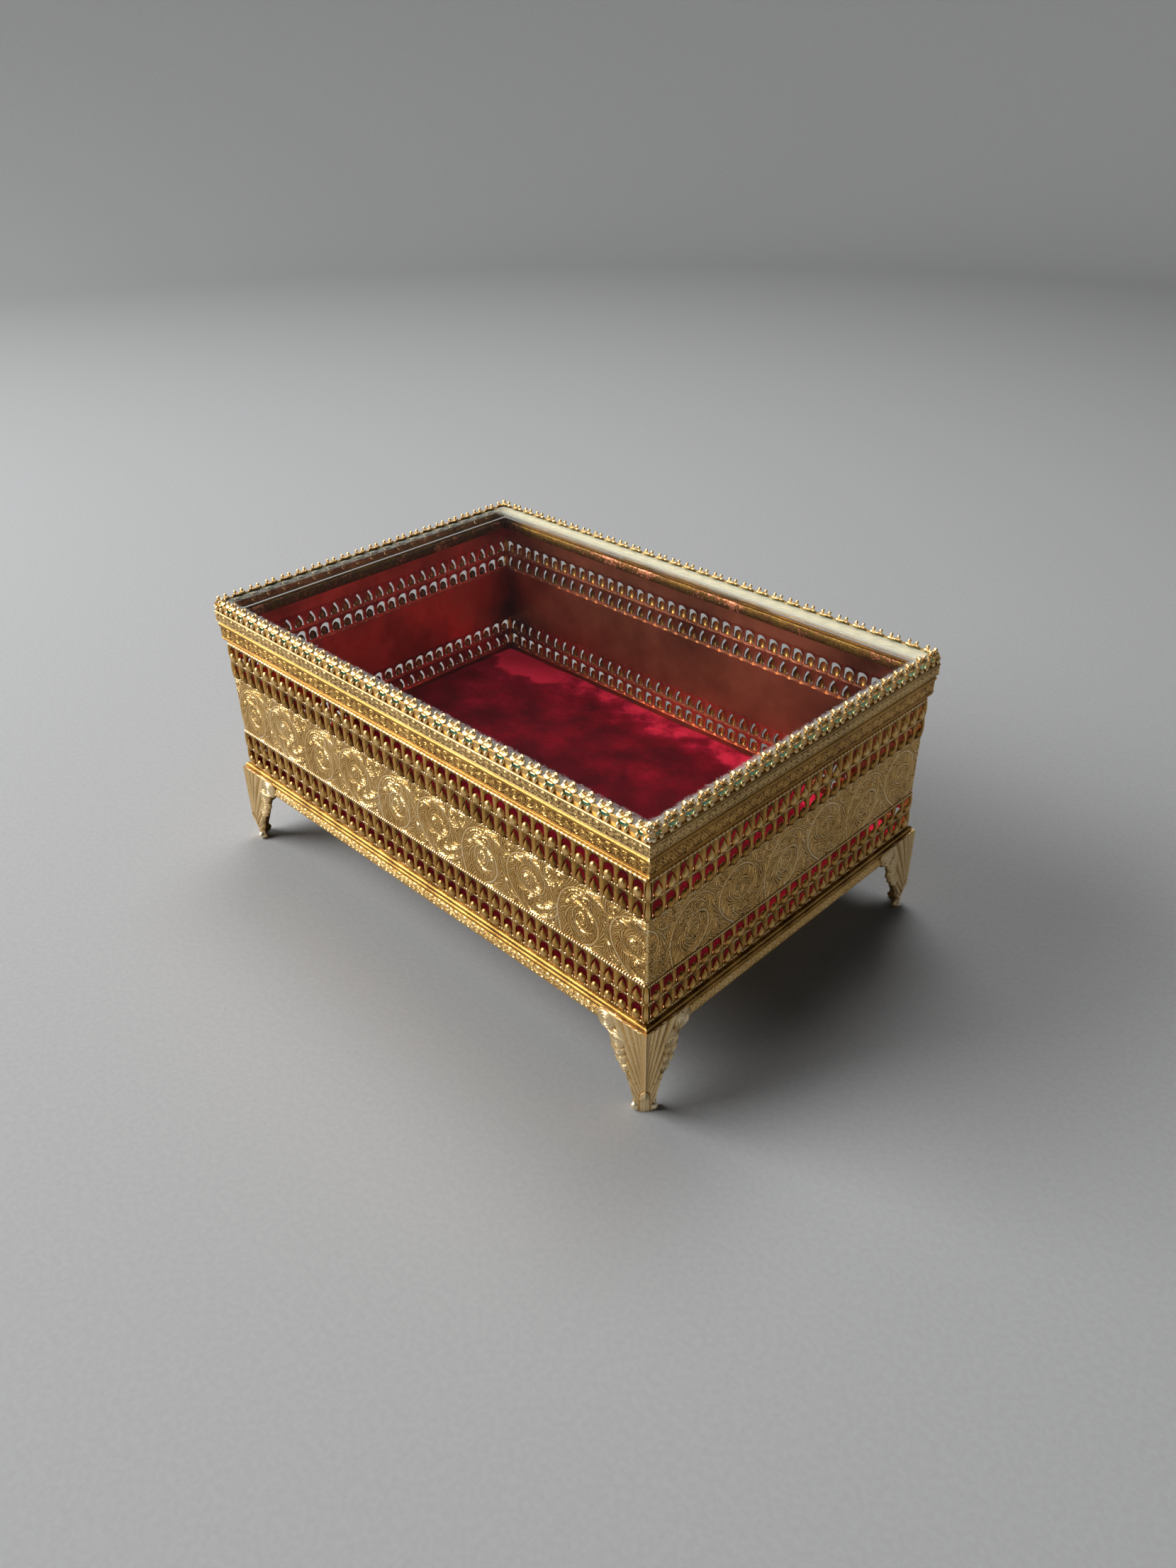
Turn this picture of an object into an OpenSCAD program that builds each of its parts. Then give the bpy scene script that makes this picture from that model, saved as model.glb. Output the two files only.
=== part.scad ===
// Glass-topped jewel casket in pierced gilt metal, on four leaf-shaped corner feet.
// X runs along the long side, -Y is the front, +Z is up, and all sizes are millimetres.
// The origin lies on the ground under the middle of the casket.

/* [Casket] */
// Length over the lid frame
lid_l = 180; // [150:1:230]
// Width over the lid frame
lid_w = 120; // [100:1:160]
// Height of the body's underside above the ground
foot_h = 23.2; // [20:0.1:28]
// How far the lid opens, in degrees
lid_open = 0; // [0:1:100]

/* [Walls] */
// Thickness of the pierced wall plates
wall_t = 0.8; // [0.6:0.1:1]
// Distance from the lid's outer face in to the walls' outer face
wall_inset = 1.7; // [1.6:0.1:2.2]
// Height of one pierced row, from bead rail to bead rail
row_h = 5.8; // [5.6:0.1:7]
// Height of the broad frieze between the pierced rows
frieze_h = 19.8; // [12:0.1:26]
// Width of one cell of the pierced rows, before it is fitted to the side
cell_w = 4.62; // [4.4:0.02:5.4]
// Radius of the half-round bead rails
rail_r = 0.45; // [0.3:0.05:0.5]
// How far the frieze stands out of the wall plate
frieze_relief = 0.35; // [0.2:0.05:0.4]

/* [Trims] */
// Height of the moulded base trim
base_h = 6; // [5.6:0.1:8]
// Height of the rim trim round the mouth
rim_h = 5.8; // [5.4:0.1:7]
// Distance from the lid's outer face in to the trims' outer face
trim_inset = 0.4; // [0.3:0.1:0.8]
// Depth of the lip that the rim turns down inside the wall
rim_lip_h = 2.2; // [1.8:0.1:3]

/* [Lid] */
// Gap between the rim and the closed lid
lid_gap = 0.4; // [0.3:0.05:0.6]
// Height of the lid frame's outer band
band_h = 3.8; // [3:0.1:5]
// Width of the ledge that carries the glass
ledge_w = 0.9; // [0.6:0.1:2]
// Full thickness of the glass
glass_t = 2.7; // [2.4:0.1:2.7]
// Thickness of the glass at its edge
glass_edge_t = 2.1; // [1.6:0.1:2.3]
// Width of the bevel ground round the glass
bevel_w = 1.6; // [1:0.1:4]
// Width of one leaf of the crest, before it is fitted to the side
leaf_w = 5.75; // [5:0.05:7]

/* [Lining] */
// Thickness of the board under the velvet
board_t = 1; // [0.8:0.1:1.5]
// Thickness of the velvet pad
pad_t = 4.5; // [3:0.1:5]
// Clearance round the pad
pad_gap = 0.3; // [0.2:0.1:0.6]

/* [Hinge] */
// Length of the hinge
hinge_l = 60; // [40:1:80]
// Radius of the hinge pin
pin_r = 0.55; // [0.4:0.05:0.6]
// Running clearance between the pin and the lid's knuckles
pin_gap = 0.05; // [0.03:0.01:0.08]

/* [Hidden] */

$fn = 48;
// Facets round the small beads, of which there are hundreds
bead_fn = 16;
gilt = "#c9a451";
old_gilt = "#9a7636";
crimson = "#6d0818";

// Turn that brings each side's outward face from +Y to its place
front = 180;
right = 270;
back = 0;
left = 90;

plate_t = 0.8;
neck_h = 1.8;
wall_z = foot_h + plate_t;
first_rail_z = foot_h + base_h + rail_r;
frieze_z = first_rail_z + 2 * row_h;
last_rail_z = frieze_z + frieze_h + 2 * row_h;
rim_z = last_rail_z + neck_h - rail_r;
rim_top = rim_z + rim_h;
wall_top = rim_top - 1.6;
lid_z = rim_top + lid_gap;
glass_z = lid_z + band_h;
lid_wall_t = 1.1;
lid_ledge_t = 0.8;
corner_margin = 0.5;
rim_lip_t = 0.6;

// Pierced cells: height and width of the openings, and their place above the rail
slot_h = row_h - 1.7;
slot_w = cell_w * 0.68;
slot_lift = 0.8;
// The bud that stands in each opening: radius of the dome and of the web behind it, their
// height above the sill, and how far the dome's centre stands out of the wall
bud_r = slot_w * 0.35;
bud_web_r = slot_w * 0.3;
bud_lift = slot_h * 0.2;
bud_out = 0.15;

// Hinge: the axis lies behind the gap between rim and lid
axis_y = lid_w / 2 + 1.25;
axis_z = rim_top + lid_gap / 2;
knuckle_r = pin_r + 0.6;
knuckle_gap = 0.1;
knuckle_l = hinge_l / 5;
hinge_leaf_t = 0.6;
hinge_leaf_h = 3.2;
hinge_notch = knuckle_r + 0.3;
pin_head_r = 0.85;
pin_head_t = 0.5;

// Feet: thickness of the leaf and of the ridges cast on it, and the outline's parts as
// fractions of foot_h, with the distance from the corner first and the height second
foot_t = 0.65;
foot_ridge_t = 0.25;
foot_out = 0.5;
foot_post = 3;
foot_lobes = [
    [0.606, 1.062, 0.136],
    [0.480, 0.872, 0.085],
    [0.446, 0.757, 0.073],
    [0.418, 0.634, 0.070],
    [0.310, 0.520, 0.036],
    [0.405, 1.120, 0.050],
    [0.280, 1.110, 0.055],
    [0.130, 1.120, 0.045],
];
foot_toe = [0.134, 0.045, 0.045];
foot_blade = [
    [0, 0], [0.134, 0], [0.120, 0.129], [0.318, 0.517], [0.400, 0.600],
    [0.480, 0.880], [0.600, 1.000], [0.560, 1.130], [0, 1.130],
];
foot_tongue = [
    [0, 0.020], [0.070, 0.045], [0.085, 0.200], [0.105, 0.330], [0.060, 0.405], [0, 0.430],
];
foot_ribs = [
    [[0.105, 0.150], [0.295, 0.520], 0.014],
    [[0.040, 0.440], [0.090, 1.000], 0.010],
    [[0.090, 0.440], [0.190, 0.960], 0.010],
    [[0.140, 0.440], [0.270, 0.880], 0.010],
    [[0.190, 0.450], [0.330, 0.760], 0.010],
];

function half_run(side) = (side == front || side == back ? lid_l : lid_w) / 2;
function half_out(side) = (side == front || side == back ? lid_w : lid_l) / 2;
function is_long(side) = side == front || side == back;

// Turns a shape built with its outward face towards +Y on to one side of the casket
module on_side(side) {
    rotate([0, 0, side]) translate([0, half_out(side), 0]) children();
}

// The space of one side, cut at 45 degrees through the corners
module mitre(side, low, high) {
    run = half_run(side);
    reach = 5;
    depth = 20;
    translate([0, 0, low]) linear_extrude(high - low)
        polygon([[-run - reach, reach], [run + reach, reach], [run - depth, -depth], [depth - run, -depth]]);
}

// A moulding along one side: the children are its profile, outward from the lid's face and up
module moulding(side, low, high) {
    on_side(side) intersection() {
        rotate([90, 0, 90]) linear_extrude(2 * half_run(side) + 4, center = true) children();
        mitre(side, low, high);
    }
}

// Round-arched opening with the web of an egg left standing on its sill
module egg_slot() {
    half = slot_w / 2;
    difference() {
        union() {
            translate([0, slot_h - half]) circle(half);
            translate([-half, 0]) square([slot_w, slot_h - half]);
        }
        translate([0, bud_lift]) circle(bud_web_r);
    }
}

// Pointed arch of two arcs that spring from the sill, each centred beyond the other side
module lancet(half, height) {
    beyond = (height * height - half * half) / (2 * half);
    intersection() {
        translate([-beyond, 0]) circle(half + beyond);
        translate([beyond, 0]) circle(half + beyond);
        translate([-half, 0]) square([2 * half, 2 * height]);
    }
}

// Pointed opening with the web of a pointed bud left standing on its sill
module spear_slot() {
    difference() {
        lancet(slot_w / 2, slot_h);
        translate([0, -0.1]) lancet(bud_web_r, slot_h * 0.72);
    }
}

// One pierced wall: rows of eggs outermost and spears inside on the long sides, and the
// other way round on the short sides, with the plain frieze between them
module pierced_wall(side) {
    plate = half_run(side) - wall_inset - (is_long(side) ? 0 : wall_t);
    run = 2 * (half_run(side) - wall_inset - corner_margin);
    cells = round(run / cell_w);
    pitch = run / cells;
    rail_h = [first_rail_z, first_rail_z + row_h, frieze_z, frieze_z + frieze_h,
              last_rail_z - row_h, last_rail_z];
    rows = [0, 1, 3, 4];
    on_side(side) translate([0, -wall_inset, 0]) {
        rotate([90, 0, 0]) linear_extrude(wall_t) difference() {
            translate([-plate, wall_z]) square([2 * plate, wall_top - wall_z]);
            for (i = rows, n = [0:cells - 1])
                translate([(n + 0.5) * pitch - run / 2, rail_h[i] + slot_lift])
                    if ((i == 0 || i == 4) == is_long(side)) egg_slot();
                    else spear_slot();
        }
        for (i = rows, n = [0:cells - 1])
            translate([(n + 0.5) * pitch - run / 2, bud_out, rail_h[i] + slot_lift + bud_lift])
                sphere(bud_r, $fn = bead_fn);
        for (z = rail_h) translate([-plate, 0, z]) rotate([0, 90, 0]) cylinder(h = 2 * plate, r = rail_r);
        translate([-plate, -wall_t / 2, frieze_z + rail_r])
            cube([2 * plate, wall_t / 2 + frieze_relief, frieze_h - 2 * rail_r]);
    }
}

// Channel that caps the wall: leafy band outside, rounded lip on top, turned-down lip inside
module rim_profile() {
    lip_r = 0.8;
    wall_in = -wall_inset - wall_t;
    band_top = rim_top - 1.9;
    difference() {
        union() {
            translate([-wall_inset, rim_z]) square([wall_inset - trim_inset, band_top - rim_z]);
            translate([-wall_inset, band_top]) square([wall_inset - trim_inset - 0.4, lip_r]);
            translate([-trim_inset - lip_r, rim_top - lip_r]) circle(lip_r);
            translate([wall_in - rim_lip_t, rim_top - 2 * lip_r])
                square([-trim_inset - lip_r - wall_in + rim_lip_t, 2 * lip_r]);
            translate([wall_in - rim_lip_t, rim_top - lip_r - rim_lip_h]) square([rim_lip_t, rim_lip_h]);
        }
        translate([wall_in, rim_z - 1]) square([wall_t, wall_top - rim_z + 1]);
    }
}

module rim(side) {
    moulding(side, rim_z - 1, rim_top + 1) rim_profile();
}

// Base trim: leafy edge at the foot, then two rolls with a groove between them
module base_trim(side) {
    roll_r = [0.85, 0.75];
    roll_z = [foot_h + 3.35, foot_h + 5.1];
    edge_h = 2.5;
    moulding(side, foot_h, foot_h + base_h) difference() {
        union() {
            translate([-wall_inset, foot_h]) square([wall_inset - trim_inset - 0.75, base_h]);
            translate([-wall_inset, foot_h]) square([wall_inset - trim_inset, edge_h]);
            for (i = [0, 1]) translate([-trim_inset - roll_r[i], roll_z[i]]) circle(roll_r[i]);
        }
        translate([-wall_inset - wall_t, foot_h]) square([wall_t, base_h]);
    }
}

module bottom_plate() {
    color(old_gilt) translate([wall_inset - lid_l / 2, wall_inset - lid_w / 2, foot_h])
        cube([lid_l - 2 * wall_inset, lid_w - 2 * wall_inset, plate_t]);
}

// A rounded sheet that lies inside the walls
module lining(gap, corner_r, z, t) {
    inner = wall_inset + wall_t + gap;
    half = [lid_l / 2 - inner, lid_w / 2 - inner];
    translate([0, 0, z]) linear_extrude(t) union() {
        square([2 * half[0], 2 * (half[1] - corner_r)], center = true);
        square([2 * (half[0] - corner_r), 2 * half[1]], center = true);
        for (x = [-1, 1], y = [-1, 1])
            translate([x * (half[0] - corner_r), y * (half[1] - corner_r)]) circle(corner_r);
    }
}

module pad_board() {
    color("tan") lining(pad_gap, 1, wall_z, board_t);
}

module velvet_pad() {
    color(crimson) lining(pad_gap, 2, wall_z + board_t, pad_t);
}

// One leaf wing of a foot, seen from outside with the corner on the right
module foot_wing() {
    polygon([for (p = foot_blade) foot_h * [-p[0], p[1]]]);
    for (lobe = concat(foot_lobes, [foot_toe]))
        translate(foot_h * [-lobe[0], lobe[1]]) circle(foot_h * lobe[2]);
}

// Ridges cast on a wing: rings and buttons on its lobes, veins up the blade, and the tongue
module foot_ridges() {
    shell = foot_lobes[0];
    for (r = [0.12, 0.085, 0.05]) translate(foot_h * [-shell[0], shell[1]]) difference() {
        circle(foot_h * r);
        circle(foot_h * (r - 0.018));
    }
    for (n = [1:3]) translate(foot_h * [-foot_lobes[n][0], foot_lobes[n][1]])
        circle(foot_h * foot_lobes[n][2] * 0.6);
    translate(foot_h * [-foot_toe[0], foot_toe[1]]) circle(foot_h * foot_toe[2] * 0.7);
    for (rib = foot_ribs)
        vein(foot_h * [-rib[0][0], rib[0][1]], foot_h * [-rib[1][0], rib[1][1]], foot_h * rib[2]);
    polygon([for (p = foot_tongue) foot_h * [-p[0], p[1]]]);
}

// A straight vein that narrows to a point at its tip
module vein(root, tip, half) {
    way = (tip - root) / norm(tip - root);
    side = half * [-way[1], way[0]];
    polygon([root + side / 2, root - side / 2, (root + tip) / 2 - side, tip, (root + tip) / 2 + side]);
}

// One face of a foot: a leaf wing with its ridges, whose outer face is at z = 0
module foot_face() {
    translate([0, 0, -foot_ridge_t - foot_t]) linear_extrude(foot_t) foot_wing();
    translate([0, 0, -foot_ridge_t]) linear_extrude(foot_ridge_t) foot_ridges();
}

// Corner foot: two ridged leaf wings over the base trim, and a solid post behind their ridge
module foot(x, y) {
    corner = [lid_l / 2 + foot_out, lid_w / 2 + foot_out];
    spine = foot_t + foot_ridge_t;
    color(gilt) mirror([x < 0 ? 1 : 0, 0, 0]) mirror([0, y < 0 ? 1 : 0, 0]) translate(corner) {
        mirror([0, 1, 0]) rotate([90, 0, 0]) foot_face();
        rotate([90, 0, 90]) foot_face();
        translate([-foot_post, -foot_post, 0]) cube([foot_post - spine, foot_post - spine, foot_h]);
        translate([-spine, -spine, 0]) cube([spine, spine, foot_h]);
    }
}

// Scalloped edge of three-lobed leaves along the crest, folded in over the glass
module crest_leaves(run, leaves) {
    pitch = 2 * run / leaves;
    leaf_r = pitch * 0.375;
    reach = 3 - leaf_r;
    root = 0.9;
    edge = [for (n = [0:leaves - 1], a = [195:-17.5:-15])
        let (r = leaf_r * (0.86 + 0.14 * cos(3 * (a - 90))))
        [(n + 0.5) * pitch - run, -root] + [r * cos(a), -reach + root - r * sin(a)]];
    polygon(concat([[-run, 0], [-run, -root]], edge, [[run, -root], [run, 0]]));
}

// Lid frame: outer band, ledge under the glass, pierced gallery with two pearls to each arch,
// and the leaf crest, with a berry on each corner
module lid_frame(side) {
    run = half_run(side);
    leaves = round(2 * run / leaf_w);
    pitch = 2 * run / leaves;
    arch_r = 0.75;
    gallery_t = 0.6;
    gallery_h = 2.8;
    leaf_t = 0.5;
    pearl_r = 0.45;
    berry_r = 0.9;
    crest_z = glass_z + gallery_h;
    color(gilt) on_side(side) intersection() {
        union() {
            rotate([90, 0, 90]) linear_extrude(2 * run + 4, center = true) {
                translate([-lid_wall_t, lid_z]) square([lid_wall_t, band_h]);
                translate([-lid_wall_t - ledge_w, glass_z - lid_ledge_t]) square([ledge_w, lid_ledge_t]);
            }
            translate([0, -lid_wall_t + gallery_t, glass_z]) rotate([90, 0, 0])
                linear_extrude(gallery_t) difference() {
                    translate([-run, 0]) square([2 * run, gallery_h]);
                    for (n = [0:leaves - 1]) translate([(n + 0.5) * pitch - run, 1]) circle(arch_r);
                }
            for (n = [0:leaves - 1], x = [-1.2, 1.2])
                translate([(n + 0.5) * pitch - run + x, -lid_wall_t + gallery_t, glass_z + pearl_r])
                    sphere(pearl_r, $fn = bead_fn);
            translate([0, -lid_wall_t + gallery_t, crest_z]) linear_extrude(leaf_t)
                crest_leaves(run, leaves);
            for (x = [-run, run]) translate([x - sign(x) * 1.2, -1.2, crest_z + 0.3]) sphere(berry_r);
        }
        mitre(side, lid_z - 1, crest_z + 2);
    }
}

// Glass with a bevel on all four sides: one bevelled profile along X meets one along Y
module bevelled_glass() {
    half = [lid_l / 2 - lid_wall_t - 0.1, lid_w / 2 - lid_wall_t - 0.1];
    color("lightblue", 0.35) translate([0, 0, glass_z]) intersection() {
        rotate([90, 0, 0]) linear_extrude(2 * half[1], center = true) bevel_profile(half[0]);
        rotate([90, 0, 90]) linear_extrude(2 * half[0], center = true) bevel_profile(half[1]);
    }
}

module bevel_profile(half) {
    polygon([[-half, 0], [half, 0], [half, glass_edge_t], [half - bevel_w, glass_t],
             [bevel_w - half, glass_t], [-half, glass_edge_t]]);
}

// Knuckles of one leaf, with their webs: a web reaches from the axis to face_y and to web_z
module knuckles(numbers, face_y, web_z) {
    for (n = numbers) translate([n * knuckle_l - hinge_l / 2 + knuckle_gap / 2, 0, 0]) {
        length = knuckle_l - knuckle_gap;
        translate([0, axis_y, axis_z]) rotate([0, 90, 0]) cylinder(h = length, r = knuckle_r);
        translate([0, face_y, min(axis_z, web_z)]) cube([length, axis_y - face_y, abs(web_z - axis_z)]);
    }
}

module pin_bore(r) {
    translate([-hinge_l, axis_y, axis_z]) rotate([0, 90, 0]) cylinder(h = 2 * hinge_l, r = r);
}

module hinge_leaf_body() {
    face_y = lid_w / 2 - trim_inset;
    leaf_top = axis_z - hinge_notch;
    color(old_gilt) difference() {
        union() {
            translate([-hinge_l / 2, face_y, leaf_top - hinge_leaf_h])
                cube([hinge_l, hinge_leaf_t, hinge_leaf_h]);
            knuckles([0, 2, 4], face_y, leaf_top - 0.4);
        }
        pin_bore(pin_r);
    }
}

module hinge_leaf_lid() {
    face_y = lid_w / 2;
    leaf_z = axis_z + hinge_notch;
    color(old_gilt) difference() {
        union() {
            translate([-hinge_l / 2, face_y, leaf_z]) cube([hinge_l, hinge_leaf_t, glass_z - leaf_z]);
            knuckles([1, 3], face_y, leaf_z + 0.2);
        }
        pin_bore(pin_r + pin_gap);
    }
}

module hinge_pin() {
    tip = hinge_l / 2 - knuckle_gap / 2;
    color("silver") translate([0, axis_y, axis_z]) rotate([0, 90, 0]) {
        cylinder(h = 2 * tip, r = pin_r, center = true);
        for (x = [-tip - pin_head_t, tip]) translate([0, 0, x]) cylinder(h = pin_head_t, r = pin_head_r);
    }
}

// Shows the lid's pieces at the chosen opening
module on_lid() {
    translate([0, axis_y, axis_z]) rotate([-lid_open, 0, 0]) translate([0, -axis_y, -axis_z]) children();
}

color(gilt) pierced_wall(front);  // wall_front
color(gilt) pierced_wall(right);  // wall_right
color(gilt) pierced_wall(back);  // wall_back
color(gilt) pierced_wall(left);  // wall_left
color(old_gilt) rim(front);  // rim_front
color(old_gilt) rim(right);  // rim_right
color(old_gilt) rim(back);  // rim_back
color(old_gilt) rim(left);  // rim_left
color(old_gilt) base_trim(front);  // base_trim_front
color(old_gilt) base_trim(right);  // base_trim_right
color(old_gilt) base_trim(back);  // base_trim_back
color(old_gilt) base_trim(left);  // base_trim_left
bottom_plate();
pad_board();
velvet_pad();
foot(-1, -1);  // foot_front_left
foot(1, -1);  // foot_front_right
foot(-1, 1);  // foot_back_left
foot(1, 1);  // foot_back_right
on_lid() lid_frame(front);  // lid_frame_front
on_lid() lid_frame(right);  // lid_frame_right
on_lid() lid_frame(back);  // lid_frame_back
on_lid() lid_frame(left);  // lid_frame_left
on_lid() bevelled_glass();
hinge_leaf_body();
on_lid() hinge_leaf_lid();
hinge_pin();
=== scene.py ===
import math

import bmesh
import bpy
import numpy as np
from mathutils import Matrix, Vector


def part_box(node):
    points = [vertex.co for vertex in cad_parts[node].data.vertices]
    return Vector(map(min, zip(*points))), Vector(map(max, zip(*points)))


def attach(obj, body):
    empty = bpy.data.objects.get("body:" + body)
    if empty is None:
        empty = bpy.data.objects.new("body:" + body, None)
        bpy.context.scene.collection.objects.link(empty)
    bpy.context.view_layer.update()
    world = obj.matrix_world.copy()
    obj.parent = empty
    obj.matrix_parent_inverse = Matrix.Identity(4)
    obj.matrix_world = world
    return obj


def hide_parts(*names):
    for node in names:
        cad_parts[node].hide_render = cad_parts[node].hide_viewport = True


# Gilt jewel casket: pierced and chased walls, a bevelled glass lid in a leaf-crested frame,
# cast leaf feet and a velvet pad. Shapes are worked out in millimetres and scaled once.

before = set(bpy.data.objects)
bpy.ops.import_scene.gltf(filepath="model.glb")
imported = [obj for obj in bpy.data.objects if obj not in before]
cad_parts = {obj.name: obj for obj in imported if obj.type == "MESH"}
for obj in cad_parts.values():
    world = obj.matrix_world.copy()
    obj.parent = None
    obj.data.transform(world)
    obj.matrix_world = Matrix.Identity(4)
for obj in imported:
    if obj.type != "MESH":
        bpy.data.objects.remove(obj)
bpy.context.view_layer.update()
mm = 0.001
sides = {"front": 180, "right": 270, "back": 0, "left": 90}  # turn from +Y to each side's outward way
longSides = ("front", "back")
print("casket: frame loaded")

cameraFit = {
    "place": (0.22697, -0.21526, 0.23319),  # metres
    "yaw": 45.064,  # degrees to the left of +Y
    "pitch": 32.741,  # degrees down
    "roll": -0.852,
    "focal": 1665.37,  # pixels of the full frame
    "frameHeight": 2212,  # pixels
    "sensor": 36.0,
}


def makeCamera(fit):
    yaw, pitch, roll = (math.radians(fit[k]) for k in ("yaw", "pitch", "roll"))
    ahead = Vector((-math.sin(yaw) * math.cos(pitch), math.cos(yaw) * math.cos(pitch), -math.sin(pitch)))
    right = Vector((math.cos(yaw), math.sin(yaw), 0))
    up = right.cross(ahead)
    tiltedRight = math.cos(roll) * right + math.sin(roll) * up
    tiltedUp = math.cos(roll) * up - math.sin(roll) * right
    data = bpy.data.cameras.new("camera")
    data.sensor_fit = "VERTICAL"
    data.sensor_height = fit["sensor"]
    data.lens = fit["focal"] * fit["sensor"] / fit["frameHeight"]
    data.clip_start = 0.005
    camera = bpy.data.objects.new("camera", data)
    turn = Matrix((tiltedRight, tiltedUp, -ahead)).transposed().to_4x4()
    camera.matrix_world = Matrix.Translation(fit["place"]) @ turn
    bpy.context.scene.collection.objects.link(camera)
    bpy.context.scene.camera = camera


makeCamera(cameraFit)


def boxOf(node):
    # lowest and highest corner of a CAD node, in millimetres
    low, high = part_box(node)
    return np.array(low) / mm, np.array(high) / mm


lidHalf = (boxOf("lid_frame_front")[1][0], boxOf("lid_frame_right")[1][1])
glassLow, glassHigh = boxOf("bevelled_glass")
rimLow, rimHigh = boxOf("rim_front")
trimLow, trimHigh = boxOf("base_trim_front")
bandLow = boxOf("lid_frame_front")[0][2]
padLow, padHigh = boxOf("velvet_pad")
wallLow, wallHigh = boxOf("wall_front")

wall = {
    "inset": 1.7,  # lid face to wall face
    "thick": 0.8,
    "rowHeight": 5.8,
    "friezeHeight": 19.8,
    "railRadius": 0.45,
    "cellWidth": 4.62,
    "margin": 0.5,  # plain metal at each end of a row
    "beadPitch": 0.87,
    "topBeadPitch": 1.47,
    "inside": -0.5,  # relief value that marks the inner faces
}
firstRail = trimHigh[2] + wall["railRadius"]
friezeLow = firstRail + 2 * wall["rowHeight"]
friezeHigh = friezeLow + wall["friezeHeight"]
railHeights = [firstRail, firstRail + wall["rowHeight"], friezeLow,
               friezeHigh, friezeHigh + wall["rowHeight"], friezeHigh + 2 * wall["rowHeight"]]


def halfRun(side):
    return lidHalf[0] if side in longSides else lidHalf[1]


def halfOut(side):
    return lidHalf[1] if side in longSides else lidHalf[0]


def onSide(side, x, out, z):
    # x runs along the side, out is the distance from the casket's middle, z is up
    turn = math.radians(sides[side])
    x, out, z = np.broadcast_arrays(x, out, z)
    return np.stack([x * math.cos(turn) - out * math.sin(turn),
                     x * math.sin(turn) + out * math.cos(turn), z], -1)


def smoothStep(low, high, value):
    t = np.clip((value - low) / (high - low), 0, 1)
    return t * t * (3 - 2 * t)


def domeAt(distance):
    # height of a half ball of radius 1 over a place at a distance from its middle
    return np.sqrt(np.clip(1 - distance ** 2, 0, 1))


def bell(distance, width):
    # 1 in the middle, dying out over about twice the width
    return np.exp(-(distance / width) ** 2)


def fullTurn(count):
    return np.linspace(0, 2 * np.pi, count + 1)[:-1]


def spread(run, width):
    # equal cells of about a given width along a run: their pitch, their middles and their ends
    count = round(run / width)
    pitch = run / count
    middles = (np.arange(count) + 0.5) * pitch - run / 2
    return pitch, middles, np.append(middles - pitch / 2, middles[-1] + pitch / 2)


def gridQuads(rows, cols, closed=False):
    # the four-cornered faces between neighbouring points of a grid, whose rows may be closed loops
    c = np.arange(cols if closed else cols - 1)
    r, c = np.meshgrid(np.arange(rows - 1), c, indexing="ij")
    after = (c + 1) % cols
    low, high = r * cols, (r + 1) * cols
    return np.stack([low + c, low + after, high + after, high + c], -1).reshape(-1, 4)


def tubeQuads(rows, size):
    # closed loops of an even number of points, with the first and the last closed by strips of faces
    a = np.arange(size // 2 - 1)
    strip = np.stack([a, a + 1, size - a - 2, size - a - 1], -1)
    return np.concatenate([gridQuads(rows, size, closed=True), strip, strip + (rows - 1) * size])


class Shape:
    # points, faces and relief, gathered from several grids into one piece. Relief runs from 0 in the
    # hollows to 1 on top, and below 0 on the inner faces of the walls
    def __init__(self):
        self.points, self.faces, self.relief, self.count = [], [], [], 0

    def add(self, points, faces, relief):
        points = points.reshape(-1, 3)
        self.points.append(points)
        self.relief.append(np.full(len(points), relief) if np.ndim(relief) == 0 else relief.reshape(-1))
        self.faces += (np.asarray(faces) + self.count).tolist()
        self.count += len(points)

    def addLoops(self, points, relief):
        # a grid whose rows are closed loops, with a flat cap on the first and the last
        rows, cols = points.shape[:2]
        start = self.count
        self.add(points, gridQuads(rows, cols, closed=True), relief)
        self.faces.append([start + i for i in range(cols)])
        self.faces.append([start + (rows - 1) * cols + i for i in range(cols)])

    def copies(self, points, faces, relief):
        # many copies of one small mesh: points has the shape copies x points x 3
        number, size = points.shape[:2]
        steps = np.arange(number)[:, None, None] * size
        relief = np.broadcast_to(relief, (number, size))
        self.add(points, (np.asarray(faces)[None] + steps).reshape(-1, 4), relief)


mergeDistance = 2e-6  # metres; points closer than this become one


def makePiece(name, shape, material, body, replaced=(), sharpAngle=50, merge=True):
    mesh = bpy.data.meshes.new(name)
    mesh.from_pydata((np.concatenate(shape.points) * mm).tolist(), [], shape.faces)
    height = mesh.attributes.new("relief", "FLOAT", "POINT")
    height.data.foreach_set("value", np.concatenate(shape.relief).astype(np.float32))
    mesh.materials.append(material)
    work = bmesh.new()
    work.from_mesh(mesh)
    if merge:
        bmesh.ops.remove_doubles(work, verts=work.verts, dist=mergeDistance)
    bmesh.ops.recalc_face_normals(work, faces=work.faces)
    work.to_mesh(mesh)
    work.free()
    mesh.shade_smooth()
    mesh.set_sharp_from_angle(angle=math.radians(sharpAngle))
    piece = bpy.data.objects.new(name, mesh)
    bpy.context.scene.collection.objects.link(piece)
    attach(piece, body)
    if replaced:
        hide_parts(*replaced)
    return piece


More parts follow.
